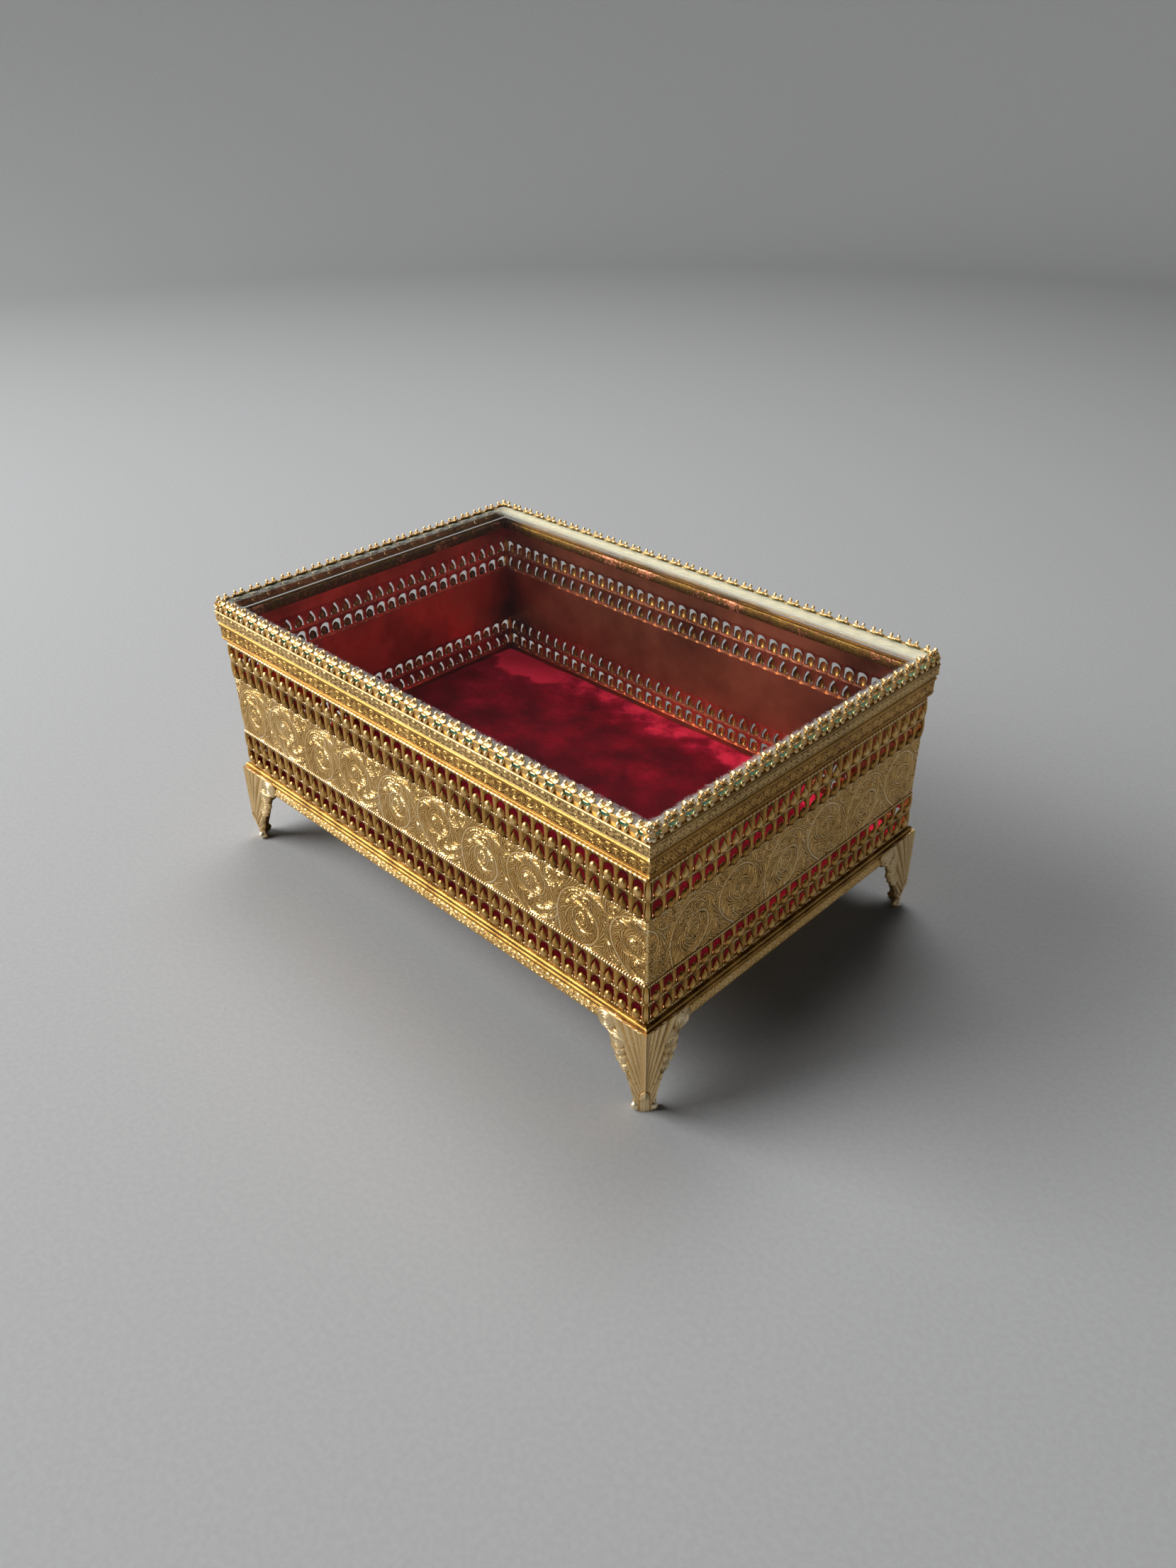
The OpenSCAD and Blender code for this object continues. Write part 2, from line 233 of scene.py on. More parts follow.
class Paint:
    # a material, its shader and the nodes that feed it. A value is a number, a colour or a socket
    def __init__(self, name):
        self.material = bpy.data.materials.new(name)
        self.material.use_nodes = True
        self.nodes = self.material.node_tree.nodes
        self.links = self.material.node_tree.links
        self.shader = self.nodes["Principled BSDF"]
        self.place = self.nodes.new("ShaderNodeTexCoord").outputs["Object"]

    def feed(self, node, values):
        for name, value in values.items():
            if isinstance(value, bpy.types.NodeSocket):
                self.links.new(value, node.inputs[name])
            else:
                node.inputs[name].default_value = (*value, 1) if isinstance(value, tuple) else value

    def math(self, operation, first, second=0.0):
        node = self.nodes.new("ShaderNodeMath")
        node.operation = operation
        self.feed(node, {0: first, 1: second})
        return node.outputs[0]

    def noise(self, scale, detail=3.0, roughness=0.55):
        node = self.nodes.new("ShaderNodeTexNoise")
        self.feed(node, {"Vector": self.place, "Scale": scale, "Detail": detail, "Roughness": roughness})
        return node.outputs["Fac"]

    def swing(self, value, amount):
        # a value of 0 to 1 turned into a swing of half the amount either way
        return self.math("MULTIPLY", self.math("SUBTRACT", value, 0.5), amount)

    def span(self, value, ends, results):
        # the first end gives the first result and the second end the second, with a straight run between
        node = self.nodes.new("ShaderNodeMapRange")
        self.feed(node, {"Value": value, "From Min": ends[0], "From Max": ends[1],
                         "To Min": results[0], "To Max": results[1]})
        return node.outputs["Result"]

    def ramp(self, level, stops):
        node = self.nodes.new("ShaderNodeValToRGB")
        elements = node.color_ramp.elements
        while len(elements) > 1:
            elements.remove(elements[-1])
        elements[0].position, elements[0].color = stops[0][0], (*stops[0][1], 1)
        for place, colour in stops[1:]:
            elements.new(place).color = (*colour, 1)
        self.feed(node, {"Fac": level})
        return node.outputs["Color"]

    def mix(self, amount, first, second, blend="MIX"):
        node = self.nodes.new("ShaderNodeMix")
        node.data_type = "RGBA"
        node.blend_type = blend
        self.feed(node, {0: amount, 6: first, 7: second})
        return node.outputs[2]

    def relief(self):
        node = self.nodes.new("ShaderNodeAttribute")
        node.attribute_name = "relief"
        return node.outputs["Fac"]

    def bump(self, height, strength, distance):
        node = self.nodes.new("ShaderNodeBump")
        self.feed(node, {"Height": height, "Strength": strength, "Distance": distance})
        return node.outputs["Normal"]


gilding = {
    "top": (1.0, 0.86, 0.60),  # pearls and edges worn pale, and a painted cream highlight on them
    "bright": (0.93, 0.63, 0.26),  # rubbed high places
    "middle": (0.57, 0.31, 0.075),
    "hollow": (0.06, 0.026, 0.005),  # old lacquer and dust in the hollows
    "inside": (0.52, 0.18, 0.10),  # reddish tone on the inner faces, which carry a relief below 0: a painted reflection of the velvet's red
    "rough": (0.4, 0.31),  # in the hollows and on the high places
    "stains": 0.45,  # swing of the broad stains
    "grain": 0.4,  # swing of the fine ones
    "worn": (0.35, 1.35),  # the inner faces' colour is multiplied by a value between these, in patches of stain
    "scratches": (0.25, 0.00015),  # strength, and depth in metres
    "flat": 0.55,  # relief value of a part that has none of its own
}


def giltMaterial(name, changes, useRelief=True):
    # colour and gloss follow the relief: bright and smooth on top, brown and dull in the hollows
    look = gilding | changes
    paint = Paint(name)
    fine = paint.noise(1500)
    height = paint.relief() if useRelief else paint.math("ADD", look["flat"])
    level = paint.math("ADD", height, paint.swing(paint.noise(70, 4), look["stains"]))
    level = paint.math("ADD", level, paint.swing(fine, look["grain"]))
    colour = paint.ramp(level, [(0.0, look["inside"]), (0.06, look["hollow"]), (0.42, look["middle"]),
                                (0.8, look["bright"]), (1.0, look["top"])])
    # the inner faces take the reddish inside colour, a painted reflection of the velvet, stained in patches
    inner = paint.span(height, (-0.3, -0.1), (1.0, 0.0))
    worn = paint.span(paint.noise(22, 5, 0.6), (0.36, 0.64), look["worn"])
    paint.feed(paint.shader, {
        "Base Color": paint.mix(inner, colour, worn, "MULTIPLY"),
        "Roughness": paint.span(level, (0.1, 0.9), look["rough"]),
        "Metallic": 1.0,
        "Normal": paint.bump(fine, *look["scratches"]),
    })
    return paint.material


gilt = giltMaterial("chasedGilt", {})
trimGilt = giltMaterial("trimGilt", {
    "top": (0.98, 0.80, 0.48), "bright": (0.88, 0.58, 0.22), "rough": (0.4, 0.44)})
paintedVelvetGlowGilt = giltMaterial("paintedVelvetGlowGilt", {"inside": (0.95, 0.17, 0.13)})  # painted reflection: the left side's inner faces are coloured a strong red for the velvet's glow on them
# painted light: the lid frame and its crest get a lighter middle tone than the walls, for the strong light
# from above on them
paintedLitLidGilt = giltMaterial("paintedLitLidGilt", {"middle": (0.70, 0.46, 0.18), "rough": (0.4, 0.38)})
footGilt = giltMaterial("footGilt", {
    "bright": (0.95, 0.74, 0.42), "middle": (0.72, 0.47, 0.19), "hollow": (0.12, 0.06, 0.015),
    "inside": (0.12, 0.06, 0.015), "rough": (0.55, 0.4)})
plainBrass = giltMaterial("plainBrass", {
    "top": (0.8, 0.62, 0.34), "bright": (0.70, 0.52, 0.26), "middle": (0.52, 0.36, 0.15),
    "hollow": (0.2, 0.12, 0.05), "inside": (0.2, 0.12, 0.05), "rough": (0.6, 0.4)}, useRelief=False)


def sideGilt(side):
    # the left side takes the painted red reflection of the velvet on its inner faces
    return paintedVelvetGlowGilt if side == "left" else gilt


def grainMaterial(name, scale, detail, stops, values):
    # a colour that wanders between two tones in a fine grain
    paint = Paint(name)
    paint.feed(paint.shader, {"Base Color": paint.ramp(paint.noise(scale, detail), stops), **values})
    return paint.material


glassLook = {
    "clear": (0.96, 0.985, 0.97),
    "dusty": (0.44, 0.43, 0.34),  # beside the leaves
    "frostAndPaintedReflection": (0.95, 0.88, 0.66),  # along the back bevel: frosting and a painted reflection
    "ground": (0.02, 0.19, 0.14),  # the edge
    "shadow": (0.88, 0.92, 0.90),  # share of a lamp's light that goes through
    "dustEnds": (0.0014, 0.0032),  # metres from the edge at which the dust thins and ends
    "paleEnds": (0.006, 0.009),  # the same for the paler strip at the back, of frosting and painted reflection
    "groundEnds": (0.00005, 0.0002),
    "ragged": 0.004,  # swing of the dust's border
    "backShare": 0.45,  # the back's distance counts this much, so the dust there is over twice as wide
    "dust": 0.7,  # at its thickest
    "dustHides": 0.75,
    "groundHides": 0.6,
    "dustRough": 0.6,
}


def glassMaterial(look):
    # clear glass, green at its ground edge and dusty beside the leaves; lamps shine straight through it
    paint = Paint("bevelledGlass")
    split = paint.nodes.new("ShaderNodeSeparateXYZ")
    paint.feed(split, {0: paint.place})
    across, deep = (float(v) * mm for v in glassHigh[:2])
    gap = paint.math("MINIMUM", paint.math("SUBTRACT", across, paint.math("ABSOLUTE", split.outputs[0])),
                     paint.math("SUBTRACT", deep, paint.math("ABSOLUTE", split.outputs[1])))
    toBack = paint.math("SUBTRACT", deep, split.outputs[1])
    ragged = paint.math("ADD", gap, paint.swing(paint.noise(1100, 5, 0.7), look["ragged"]))
    ragged = paint.math("MINIMUM", ragged, paint.math("MULTIPLY", toBack, look["backShare"]))
    dust = paint.span(ragged, look["dustEnds"], (look["dust"], 0.0))
    pale = paint.span(toBack, look["paleEnds"], (1.0, 0.0))
    ground = paint.span(gap, look["groundEnds"], (1.0, 0.0))
    colour = paint.ramp(dust, [(0.0, look["clear"]), (look["dust"], look["dusty"])])
    # the pale strip along the back: frosting and a painted reflection
    colour = paint.mix(paint.math("MULTIPLY", pale, dust), colour, look["frostAndPaintedReflection"])
    hidden = paint.math("MAXIMUM", paint.math("MULTIPLY", dust, look["dustHides"]),
                        paint.math("MULTIPLY", ground, look["groundHides"]))
    paint.feed(paint.shader, {
        "Base Color": paint.mix(ground, colour, look["ground"]),
        "Transmission Weight": paint.math("SUBTRACT", 1.0, hidden),
        "Roughness": paint.span(dust, (0.0, 1.0), (0.0, look["dustRough"])),
        "IOR": 1.5,
    })
    path = paint.nodes.new("ShaderNodeLightPath")
    clear = paint.nodes.new("ShaderNodeBsdfTransparent")
    paint.feed(clear, {"Color": look["shadow"]})
    mix = paint.nodes.new("ShaderNodeMixShader")
    paint.feed(mix, {"Fac": path.outputs["Is Shadow Ray"],
                     1: paint.shader.outputs["BSDF"], 2: clear.outputs["BSDF"]})
    paint.feed(paint.nodes["Material Output"], {"Surface": mix.outputs["Shader"]})
    return paint.material


velvetLook = {
    # colours from the shaded pile to the crushed patches
    "tones": [(0.1, (0.045, 0.0003, 0.002)), (0.42, (0.11, 0.0006, 0.005)), (0.62, (0.17, 0.002, 0.012)),
              (0.82, (0.48, 0.014, 0.04))],
    "crush": 1.25,  # swing of the crushed patches
    "grain": 0.35,  # swing of the pile
    "pile": (0.5, 0.0003),  # strength, and depth in metres
}


def velvetMaterial(look):
    # deep crimson pile with lighter crushed patches where the nap lies over
    paint = Paint("crimsonVelvet")
    pile = paint.noise(2600, 2)
    level = paint.math("ADD", paint.relief(), paint.swing(paint.noise(95, 6, 0.62), look["crush"]))
    level = paint.math("ADD", level, paint.swing(pile, look["grain"]))
    paint.feed(paint.shader, {
        "Base Color": paint.ramp(level, look["tones"]),
        "Roughness": 0.85,
        "Specular IOR Level": 0.04,
        "Sheen Weight": 0.03,
        "Sheen Roughness": 0.35,
        "Sheen Tint": (0.9, 0.12, 0.2),
        "Normal": paint.bump(pile, *look["pile"]),
    })
    return paint.material


steel = grainMaterial("drawnSteel", 900, 3, [(0.3, (0.38, 0.37, 0.36)), (0.7, (0.62, 0.61, 0.6))],
                      {"Metallic": 1.0, "Roughness": 0.35})
board = grainMaterial("pulpBoard", 500, 5, [(0.3, (0.30, 0.21, 0.12)), (0.7, (0.46, 0.34, 0.21))],
                      {"Roughness": 0.9})
glass, velvet = glassMaterial(glassLook), velvetMaterial(velvetLook)

cadMaterials = {
    "bottom_plate": plainBrass, "hinge_leaf_body": plainBrass, "hinge_leaf_lid": plainBrass,
    "hinge_pin": steel, "pad_board": board, "bevelled_glass": glass,
}
for node, material in cadMaterials.items():
    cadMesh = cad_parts[node].data
    cadMesh.materials.clear()
    cadMesh.materials.append(material)
print("casket: materials made")


scroll = {
    "period": 36.5,
    "height": 10.0,  # above and below the middle line
    "rise": 0.38,  # height of the chasing
    "grid": 0.1,
    # spines of the two medallions and the stem between them; x runs along the frieze
    "spines": {
        "roundLeaf": [(15.8, -9.2), (13.0, -6.6), (11.0, -3.9), (9.8, -1.4), (9.6, 1.4), (10.5, 4.3),
            (12.6, 6.7), (16.0, 8.2), (19.4, 7.5), (22.2, 5.5), (23.6, 2.7), (23.0, -0.3), (20.6, -2.4),
            (17.6, -2.6), (15.6, -1.1), (15.0, 0.6), (15.8, 1.9), (17.4, 2.3), (18.4, 1.3), (17.8, 0.2)],
        "rosette": [(37.0, -9.0), (39.4, -7.6), (41.2, -5.4), (42.0, -2.8), (41.4, 0.6), (39.4, 2.4),
            (36.6, 2.8), (34.2, 1.4), (33.2, -1.2), (34.0, -3.4), (36.2, -4.2), (38.0, -3.0),
            (38.2, -1.2), (37.0, 0.0), (35.6, -0.7), (35.8, -2.0), (36.8, -2.0)],
        "stem": [(29.2, -9.6), (28.4, -5.9), (27.9, -2.7), (28.4, 0.6), (29.7, 3.6), (31.8, 6.0),
            (34.8, 7.5), (38.2, 8.0), (41.2, 6.9), (43.2, 5.0), (44.4, 2.8)],
        "tail": [(28.2, -3.8), (26.8, -5.9), (24.6, -7.7), (21.8, -8.6), (19.0, -8.0), (17.0, -6.4),
            (16.7, -4.9), (17.8, -4.1), (19.1, -4.8), (18.6, -5.8)],
        "hook": [(27.8, -1.8), (26.0, -3.8), (23.4, -5.0), (21.2, -4.8), (20.2, -3.7), (21.0, -2.9)],
        "inner": [(31.6, 3.0), (33.0, 4.9), (35.0, 5.9), (37.4, 5.6), (38.4, 4.7), (37.4, 4.3)],
        "upperCurl": [(27.0, 4.6), (25.0, 4.9), (23.5, 6.2), (23.7, 7.8), (25.0, 8.4), (26.1, 7.7),
            (26.0, 6.6), (25.0, 6.4)],
        "smallCurl": [(30.2, 6.6), (29.0, 6.3), (27.9, 7.2), (28.4, 8.3), (29.4, 8.1), (29.2, 7.4)],
        "sideCurl": [(12.0, 4.9), (10.0, 5.4), (8.9, 6.7), (9.6, 8.1), (10.9, 8.0), (11.2, 6.9),
            (10.3, 6.6)],
        "footCurl": [(27.2, -6.0), (27.5, -7.8), (26.3, -9.0), (25.0, -8.4), (25.2, -7.3), (26.2, -7.4)],
        "lowCurl": [(9.0, -4.0), (10.2, -6.4), (12.2, -8.2), (10.4, -9.1), (8.8, -8.2), (9.2, -7.2),
            (10.2, -7.5)],
    },
    "thick": {"roundLeaf": 0.34, "rosette": 0.34, "stem": 0.34},  # half width; 0.25 for the other spines
    "stroke": 1.15,  # length of spine from which one stroke of the leaf springs, mm
    "lean": 3.6,  # how far the strokes run on along the spine as they leave it
}


def curveThrough(corners, step=0.12):
    # Catmull-Rom curve: between two corners the slope at each end is half the way between its neighbours
    p = np.array(corners, float)
    p = np.concatenate([2 * p[:1] - p[1:2], p, 2 * p[-1:] - p[-2:-1]])
    t = np.linspace(0, 1, 16, endpoint=False)[:, None]
    a, b, c, d = p[:-3, None], p[1:-2, None], p[2:-1, None], p[3:, None]
    q = 0.5 * (2 * b + (c - a) * t + (2 * a - 5 * b + 4 * c - d) * t ** 2 + (3 * b - a - 3 * c + d) * t ** 3)
    q = np.concatenate([q.reshape(-1, 2), p[-2:-1]])
    length = np.concatenate([[0], np.cumsum(np.linalg.norm(np.diff(q, axis=0), axis=1))])
    even = np.linspace(0, length[-1], max(3, int(length[-1] / step)))
    return np.stack([np.interp(even, length, q[:, i]) for i in (0, 1)], -1)


def scrollTable():
    # every place belongs to its nearest spine. Strokes leave a spine almost along it and bend away:
    # place along the spine less the lean times the root of the distance is the same all along a stroke
    grid, period, height = scroll["grid"], scroll["period"], scroll["height"]
    x = np.arange(0, period - grid / 2, grid)
    z = np.arange(-height, height + grid / 2, grid)
    points, ways, along, thick = [], [], [], []
    for name, spine in scroll["spines"].items():
        line = curveThrough(spine, 0.3)
        way = np.gradient(line, axis=0)
        s = 0.3 * np.arange(len(line))
        half = scroll["thick"].get(name, 0.25) * (1 - 0.45 * s / s[-1])
        for shift in (-period, 0, period):
            points.append(line + [shift, 0])
            ways.append(way / np.linalg.norm(way, axis=1)[:, None])
            along.append(s)
            thick.append(half)
    points, ways, along, thick = (np.concatenate(v) for v in (points, ways, along, thick))
    across = (x[:, None] - points[:, 0]) ** 2
    near = np.array([(across + (level - points[:, 1]) ** 2).argmin(1) for level in z])
    gx, gz = x[None] - points[near, 0], z[:, None] - points[near, 1]
    way = ways[near]
    ahead = gx * way[..., 0] + gz * way[..., 1]
    side = np.sign(gz * way[..., 0] - gx * way[..., 1])
    d = np.hypot(gx, gz)
    phase = (along[near] + ahead - scroll["lean"] * np.sqrt(d + 0.05)) / scroll["stroke"] + 0.25 * side
    place = 2 * (phase % 1) - 1
    stroke = (1 - np.abs(place) ** 1.5) ** 1.3 * (0.84 + 0.16 * np.cos(2 * np.pi * (phase // 1) / 3))
    stroke *= 1 - 0.16 * (0.5 + 0.5 * np.cos(3 * np.pi * place)) * smoothStep(0.8, 2.0, d)
    leaf = 0.06 + 0.1 * np.exp(-d / 2.5) + 0.8 * stroke * smoothStep(0.0, 0.5, d)
    half = thick[near]
    groove = bell(d - half - 0.12, 0.12)
    return np.where(d < half, 0.55 + 0.25 * domeAt(d / half), leaf * (1 - 0.4 * groove))


def readTable(table, period, low, x, z):
    # height at x, z between the points of a table that repeats along x
    stepX, rows = period / table.shape[1], table.shape[0]
    stepZ = -2 * low / (rows - 1)
    gx = np.mod(x, period) / stepX
    gz = np.clip((z - low) / stepZ, 0, rows - 1.001)
    x0, z0 = gx.astype(int) % table.shape[1], gz.astype(int)
    x1, fx, fz = (x0 + 1) % table.shape[1], gx - np.floor(gx), gz - z0
    return ((table[z0, x0] * (1 - fx) + table[z0, x1] * fx) * (1 - fz)
            + (table[z0 + 1, x0] * (1 - fx) + table[z0 + 1, x1] * fx) * fz)


def vineBand(x, z, unit, reach, fine):
    # a waving stem with a spiral in each of its bends and slanting veins between them:
    # a spiral is a ridge wherever the angle plus the turns of the radius come round to a whole number
    swing = np.sin(2 * np.pi * x / unit + 0.5 * np.sin(1.3 * x))
    height = bell(z - 0.55 * reach * swing, 0.16)
    for start, hand in ((0.25, -1), (0.75, 1)):
        dx = (x - start * unit + unit / 2) % unit - unit / 2
        dz = z - hand * 0.32 * reach
        ring, angle = np.hypot(dx, dz), np.arctan2(dz, dx)
        spiral = 0.5 + 0.5 * np.cos(hand * angle + 2 * np.pi * ring / 0.62)
        height = np.maximum(height, spiral * (1 - smoothStep(0.62 * reach, 0.85 * reach, ring)))
    veins = 0.5 + 0.5 * np.cos(2 * np.pi * (x / fine + z * np.sign(swing) * 0.9) + 1.2 * np.sin(0.9 * x))
    return np.maximum(height, 0.55 * veins)


def profileRun(corners, step):
    # points along straight stretches between corners, no further apart than the step
    out = []
    for (u0, z0), (u1, z1) in zip(corners, corners[1:]):
        parts = max(1, int(math.ceil(math.hypot(u1 - u0, z1 - z0) / step)))
        out += [(u0 + (u1 - u0) * i / parts, z0 + (z1 - z0) * i / parts) for i in range(parts)]
    return out + [corners[-1]]


def arcPoints(centre, radius, start, end, parts):
    a = np.radians(np.linspace(start, end, parts + 1))
    return np.stack([centre[0] + radius * np.cos(a), centre[1] + radius * np.sin(a)], -1)


moulding = {
    "fade": 0.7,  # from the mitre, where the relief dies out to meet that of the next side
    "mitre": 0.85,  # relief value of the worn mitre
    "deep": 0.25,  # hollows below this keep their value at the mitre
    "band": 0.25,  # height over which a band's relief starts and ends
    "step": 0.25,  # between mesh columns; the frieze is finer
    "fine": 0.2,  # mesh step across a band, and along the frieze
}


def addMoulding(shape, side, profile, columnStep, reliefOf):
    # a closed profile, outward from the lid's face and up, carried along the side to its mitred ends
    u, z = np.array(profile).T
    along = np.linspace(-1, 1, int(2 * halfRun(side) / columnStep))[:, None]
    x = along * (halfRun(side) + u)
    rise, level = reliefOf(-x, np.broadcast_to(u, x.shape), np.broadcast_to(z, x.shape))
    fade = smoothStep(0, moulding["fade"], halfRun(side) + u - np.abs(x))
    out = u + rise * fade
    x = x + along * rise * fade
    level = np.where(level > moulding["deep"], level * fade + moulding["mitre"] * (1 - fade), level)
    shape.addLoops(onSide(side, x, halfOut(side) + out, z), level)


def inBand(z, u, low, high, faceU, edge=moulding["band"]):
    # 1 on the outward face between two heights, fading to 0 at its edges
    return smoothStep(low, low + edge, z) * (1 - smoothStep(high - edge, high, z)) * (u > faceU)


frieze = {
    "sunk": 0.05,  # its face behind the wall's
    "gap": 0.2,  # to the rails above and below
    "edge": 0.5,  # plain border in which the chasing starts
    "borderLevel": 0.5,  # relief value of that border
    "contrast": (1.2, -0.02),  # relief value is the chased height times the first plus the second
    "start": {True: 30.3, False: -5.0},  # where the pattern starts on a long and on a short side
}


def makeFrieze(side):
    base = -wall["inset"] - frieze["sunk"]
    inner = -wall["inset"] - wall["thick"]
    low, high = friezeLow + frieze["gap"], friezeHigh - frieze["gap"]
    profile = profileRun([(base, low), (base, high)], moulding["fine"]) + [(inner, high), (inner, low)]
    middle = (low + high) / 2
    start = frieze["start"][side in longSides]

    def relief(x, u, z):
        # the chasing is full height between its plain borders
        height = readTable(chasing, scroll["period"], -scroll["height"], x - start, z - middle)
        edge = inBand(z, u, low, high, inner + 0.1, frieze["edge"])
        level = edge * (frieze["contrast"][0] * height + frieze["contrast"][1])
        level = level + frieze["borderLevel"] * (1 - edge)
        return edge * scroll["rise"] * height, np.where(u > inner + 0.1, level, wall["inside"])

    shape = Shape()
    addMoulding(shape, side, profile, moulding["fine"], relief)
    makePiece("frieze_" + side, shape, sideGilt(side), "casket")


chasing = scrollTable()
for side in sides:
    makeFrieze(side)
print("casket: friezes made")


def sillPoints(half):
    return np.array([[-half * 0.5, 0.0], [0, 0.0], [half * 0.5, 0.0]])


def archOutline(width, height):
    # round arch with slightly waisted sides, from the right foot over the top to the left foot
    half = width / 2
    foot = np.array([[half * 1.04, 0.0], [half * 0.93, (height - half) * 0.5]])
    top = arcPoints((0, height - half), half, -10, 190, 9)
    return np.concatenate([foot, top, foot[::-1] * [-1, 1], sillPoints(half)])


def lancetOutline(width, height):
    # pointed arch of two arcs that spring from the sill, each centred beyond the other side
    half = width / 2
    beyond = (height ** 2 - half ** 2) / (2 * half)
    top = math.degrees(math.asin(height / (half + beyond)))
    side = arcPoints((-beyond, 0), half + beyond, 0, top, 6)
    return np.concatenate([side, side[-2::-1] * [-1, 1], sillPoints(half)])


def cellFrame(outline, centre, pitch, height):
    # the cell's edge, met by rays from the opening's centre through its outline; the nearest rays
    # are moved to the four corners
    ray = outline - centre
    halfW = pitch / 2
    with np.errstate(divide="ignore", invalid="ignore"):
        toSide = np.where(ray[:, 0] != 0, halfW / np.abs(ray[:, 0]), np.inf)
        toEnd = np.where(ray[:, 1] > 0, (height - centre[1]) / ray[:, 1],
                         np.where(ray[:, 1] < 0, -centre[1] / ray[:, 1], np.inf))
    edge = centre + ray * np.minimum(toSide, toEnd)[:, None]
    for corner in ((halfW, 0), (halfW, height), (-halfW, height), (-halfW, 0)):
        edge[np.hypot(*(edge - corner).T).argmin()] = corner
    return edge


row = {
    "lift": 0.8,  # opening's foot above the rail
    "openHeight": 4.1,
    "openWidth": 3.4,
    "middle": 1.9,  # above the opening's foot; the mesh spreads from here
    "rings": (0, 0.12, 0.4, 0.7, 1.0),  # of the outer face, from the opening to the cell's edge
    "lip": (0.16, 0.03, 0, 0, 0),  # how far each of them turns in
    "backRings": (1.0, 0.5, 0.05),  # of the inner face, back to the opening
    "crown": 0.3,  # how far the row bulges out at mid height
    "pillar": 0.4,  # how far the metal between the openings swells
    "pillarHalf": 0.85,  # half its width
    "gloss": (0.13, 0.36, 0.6),  # relief value of the wall, what a swell adds to it, and the full swell
    # height above the sill and half width of the egg and of the pointed bud
    "egg": ((-0.45, 0.85), (-0.1, 1.12), (0.45, 1.3), (1.0, 1.34),
            (1.6, 1.2), (2.1, 0.9), (2.42, 0.5), (2.55, 0.12)),
    "bud": ((-0.45, 0.85), (0.1, 1.1), (0.7, 1.26), (1.25, 1.2),
            (1.8, 0.95), (2.4, 0.58), (2.95, 0.25), (3.35, 0.04)),
    "budDepth": 0.85,  # depth of a bud as a part of its half width
    "lean": (0.1, 0.6),  # how far its foot and its tip stand out of the wall
    "hollow": 0.72,  # size of a bud's inner surface as a part of the outer one
    "pearl": (0.24, 0.32, -0.1, 0.65),  # radius, outward, above the sill, relief value
    # painted sheen: a bud's relief value, lighter from its flanks to its front, row by row from the base
    "budShine": {0: (0.12, 0.6), 1: (0.14, 0.5), 3: (0.08, 0.36), 4: (0.12, 0.72)},
}


def rowOut(x, z, pitch):
    # the row's outward bulge: fullest at mid height, with swelling pillars between the openings
    z = np.clip(z, 0, wall["rowHeight"])
    out = row["crown"] * np.sin(np.pi * z / wall["rowHeight"]) ** 0.8
    fromPillar = pitch / 2 - np.abs((x + pitch / 2) % pitch - pitch / 2)
    return out + row["pillar"] * np.clip(1 - (fromPillar / row["pillarHalf"]) ** 2, 0, 1)


def addRow(shape, side, index):
    domed = (index in (0, 4)) == (side in longSides)
    pitch, middles, ends = spread(2 * (halfRun(side) - wall["inset"] - wall["margin"]), wall["cellWidth"])
    height = wall["rowHeight"]
    shapeOf = archOutline if domed else lancetOutline
    outline = shapeOf(row["openWidth"], row["openHeight"]) + [0, row["lift"]]
    centre = np.array([0, row["lift"] + row["middle"]])
    edge = cellFrame(outline, centre, pitch, height)
    size = len(outline)
    steps = np.array(row["rings"] + row["backRings"])[:, None, None]
    xz = outline + (edge - outline) * steps
    rings, last = len(xz), len(row["rings"]) - 1
    inward = np.array(row["lip"] + (wall["thick"] * 0.8,) * len(row["backRings"]))
    out = rowOut(xz[..., 0], xz[..., 1], pitch) - inward[:, None]
    plain, added, full = row["gloss"]
    relief = plain + added * np.clip(out / full, 0, 1) ** 1.5
    relief[last + 1:] = wall["inside"]
    quads = gridQuads(rings, size, closed=True)
    k = np.arange(size)
    inner = np.stack([(rings - 1) * size + k, (rings - 1) * size + (k + 1) % size, (k + 1) % size, k], -1)
    # neighbouring cells meet there, so no face closes the cell's two sides
    onEdge = np.abs(xz[last, :, 0]) > pitch / 2 - 1e-6
    cut = (quads[:, 0] // size == last) & onEdge[quads[:, 0] % size] & onEdge[quads[:, 1] % size]
    wallOut = halfOut(side) - wall["inset"]
    xs = middles[:, None] + xz[..., 0].reshape(1, -1)
    points = onSide(side, xs, wallOut + out.reshape(1, -1), railHeights[index] + xz[..., 1].reshape(1, -1))
    shape.copies(points, np.concatenate([quads[~cut], inner]), relief.reshape(1, -1))
    sill = railHeights[index] + row["lift"]
    addBuds(shape, side, middles, row["egg" if domed else "bud"], sill, wallOut, row["budShine"][index])
    radius, pearlOut, pearlUp, shine = row["pearl"]
    addPearls(shape, side, ends, sill + pearlUp, wallOut + pearlOut, radius, shine=shine)


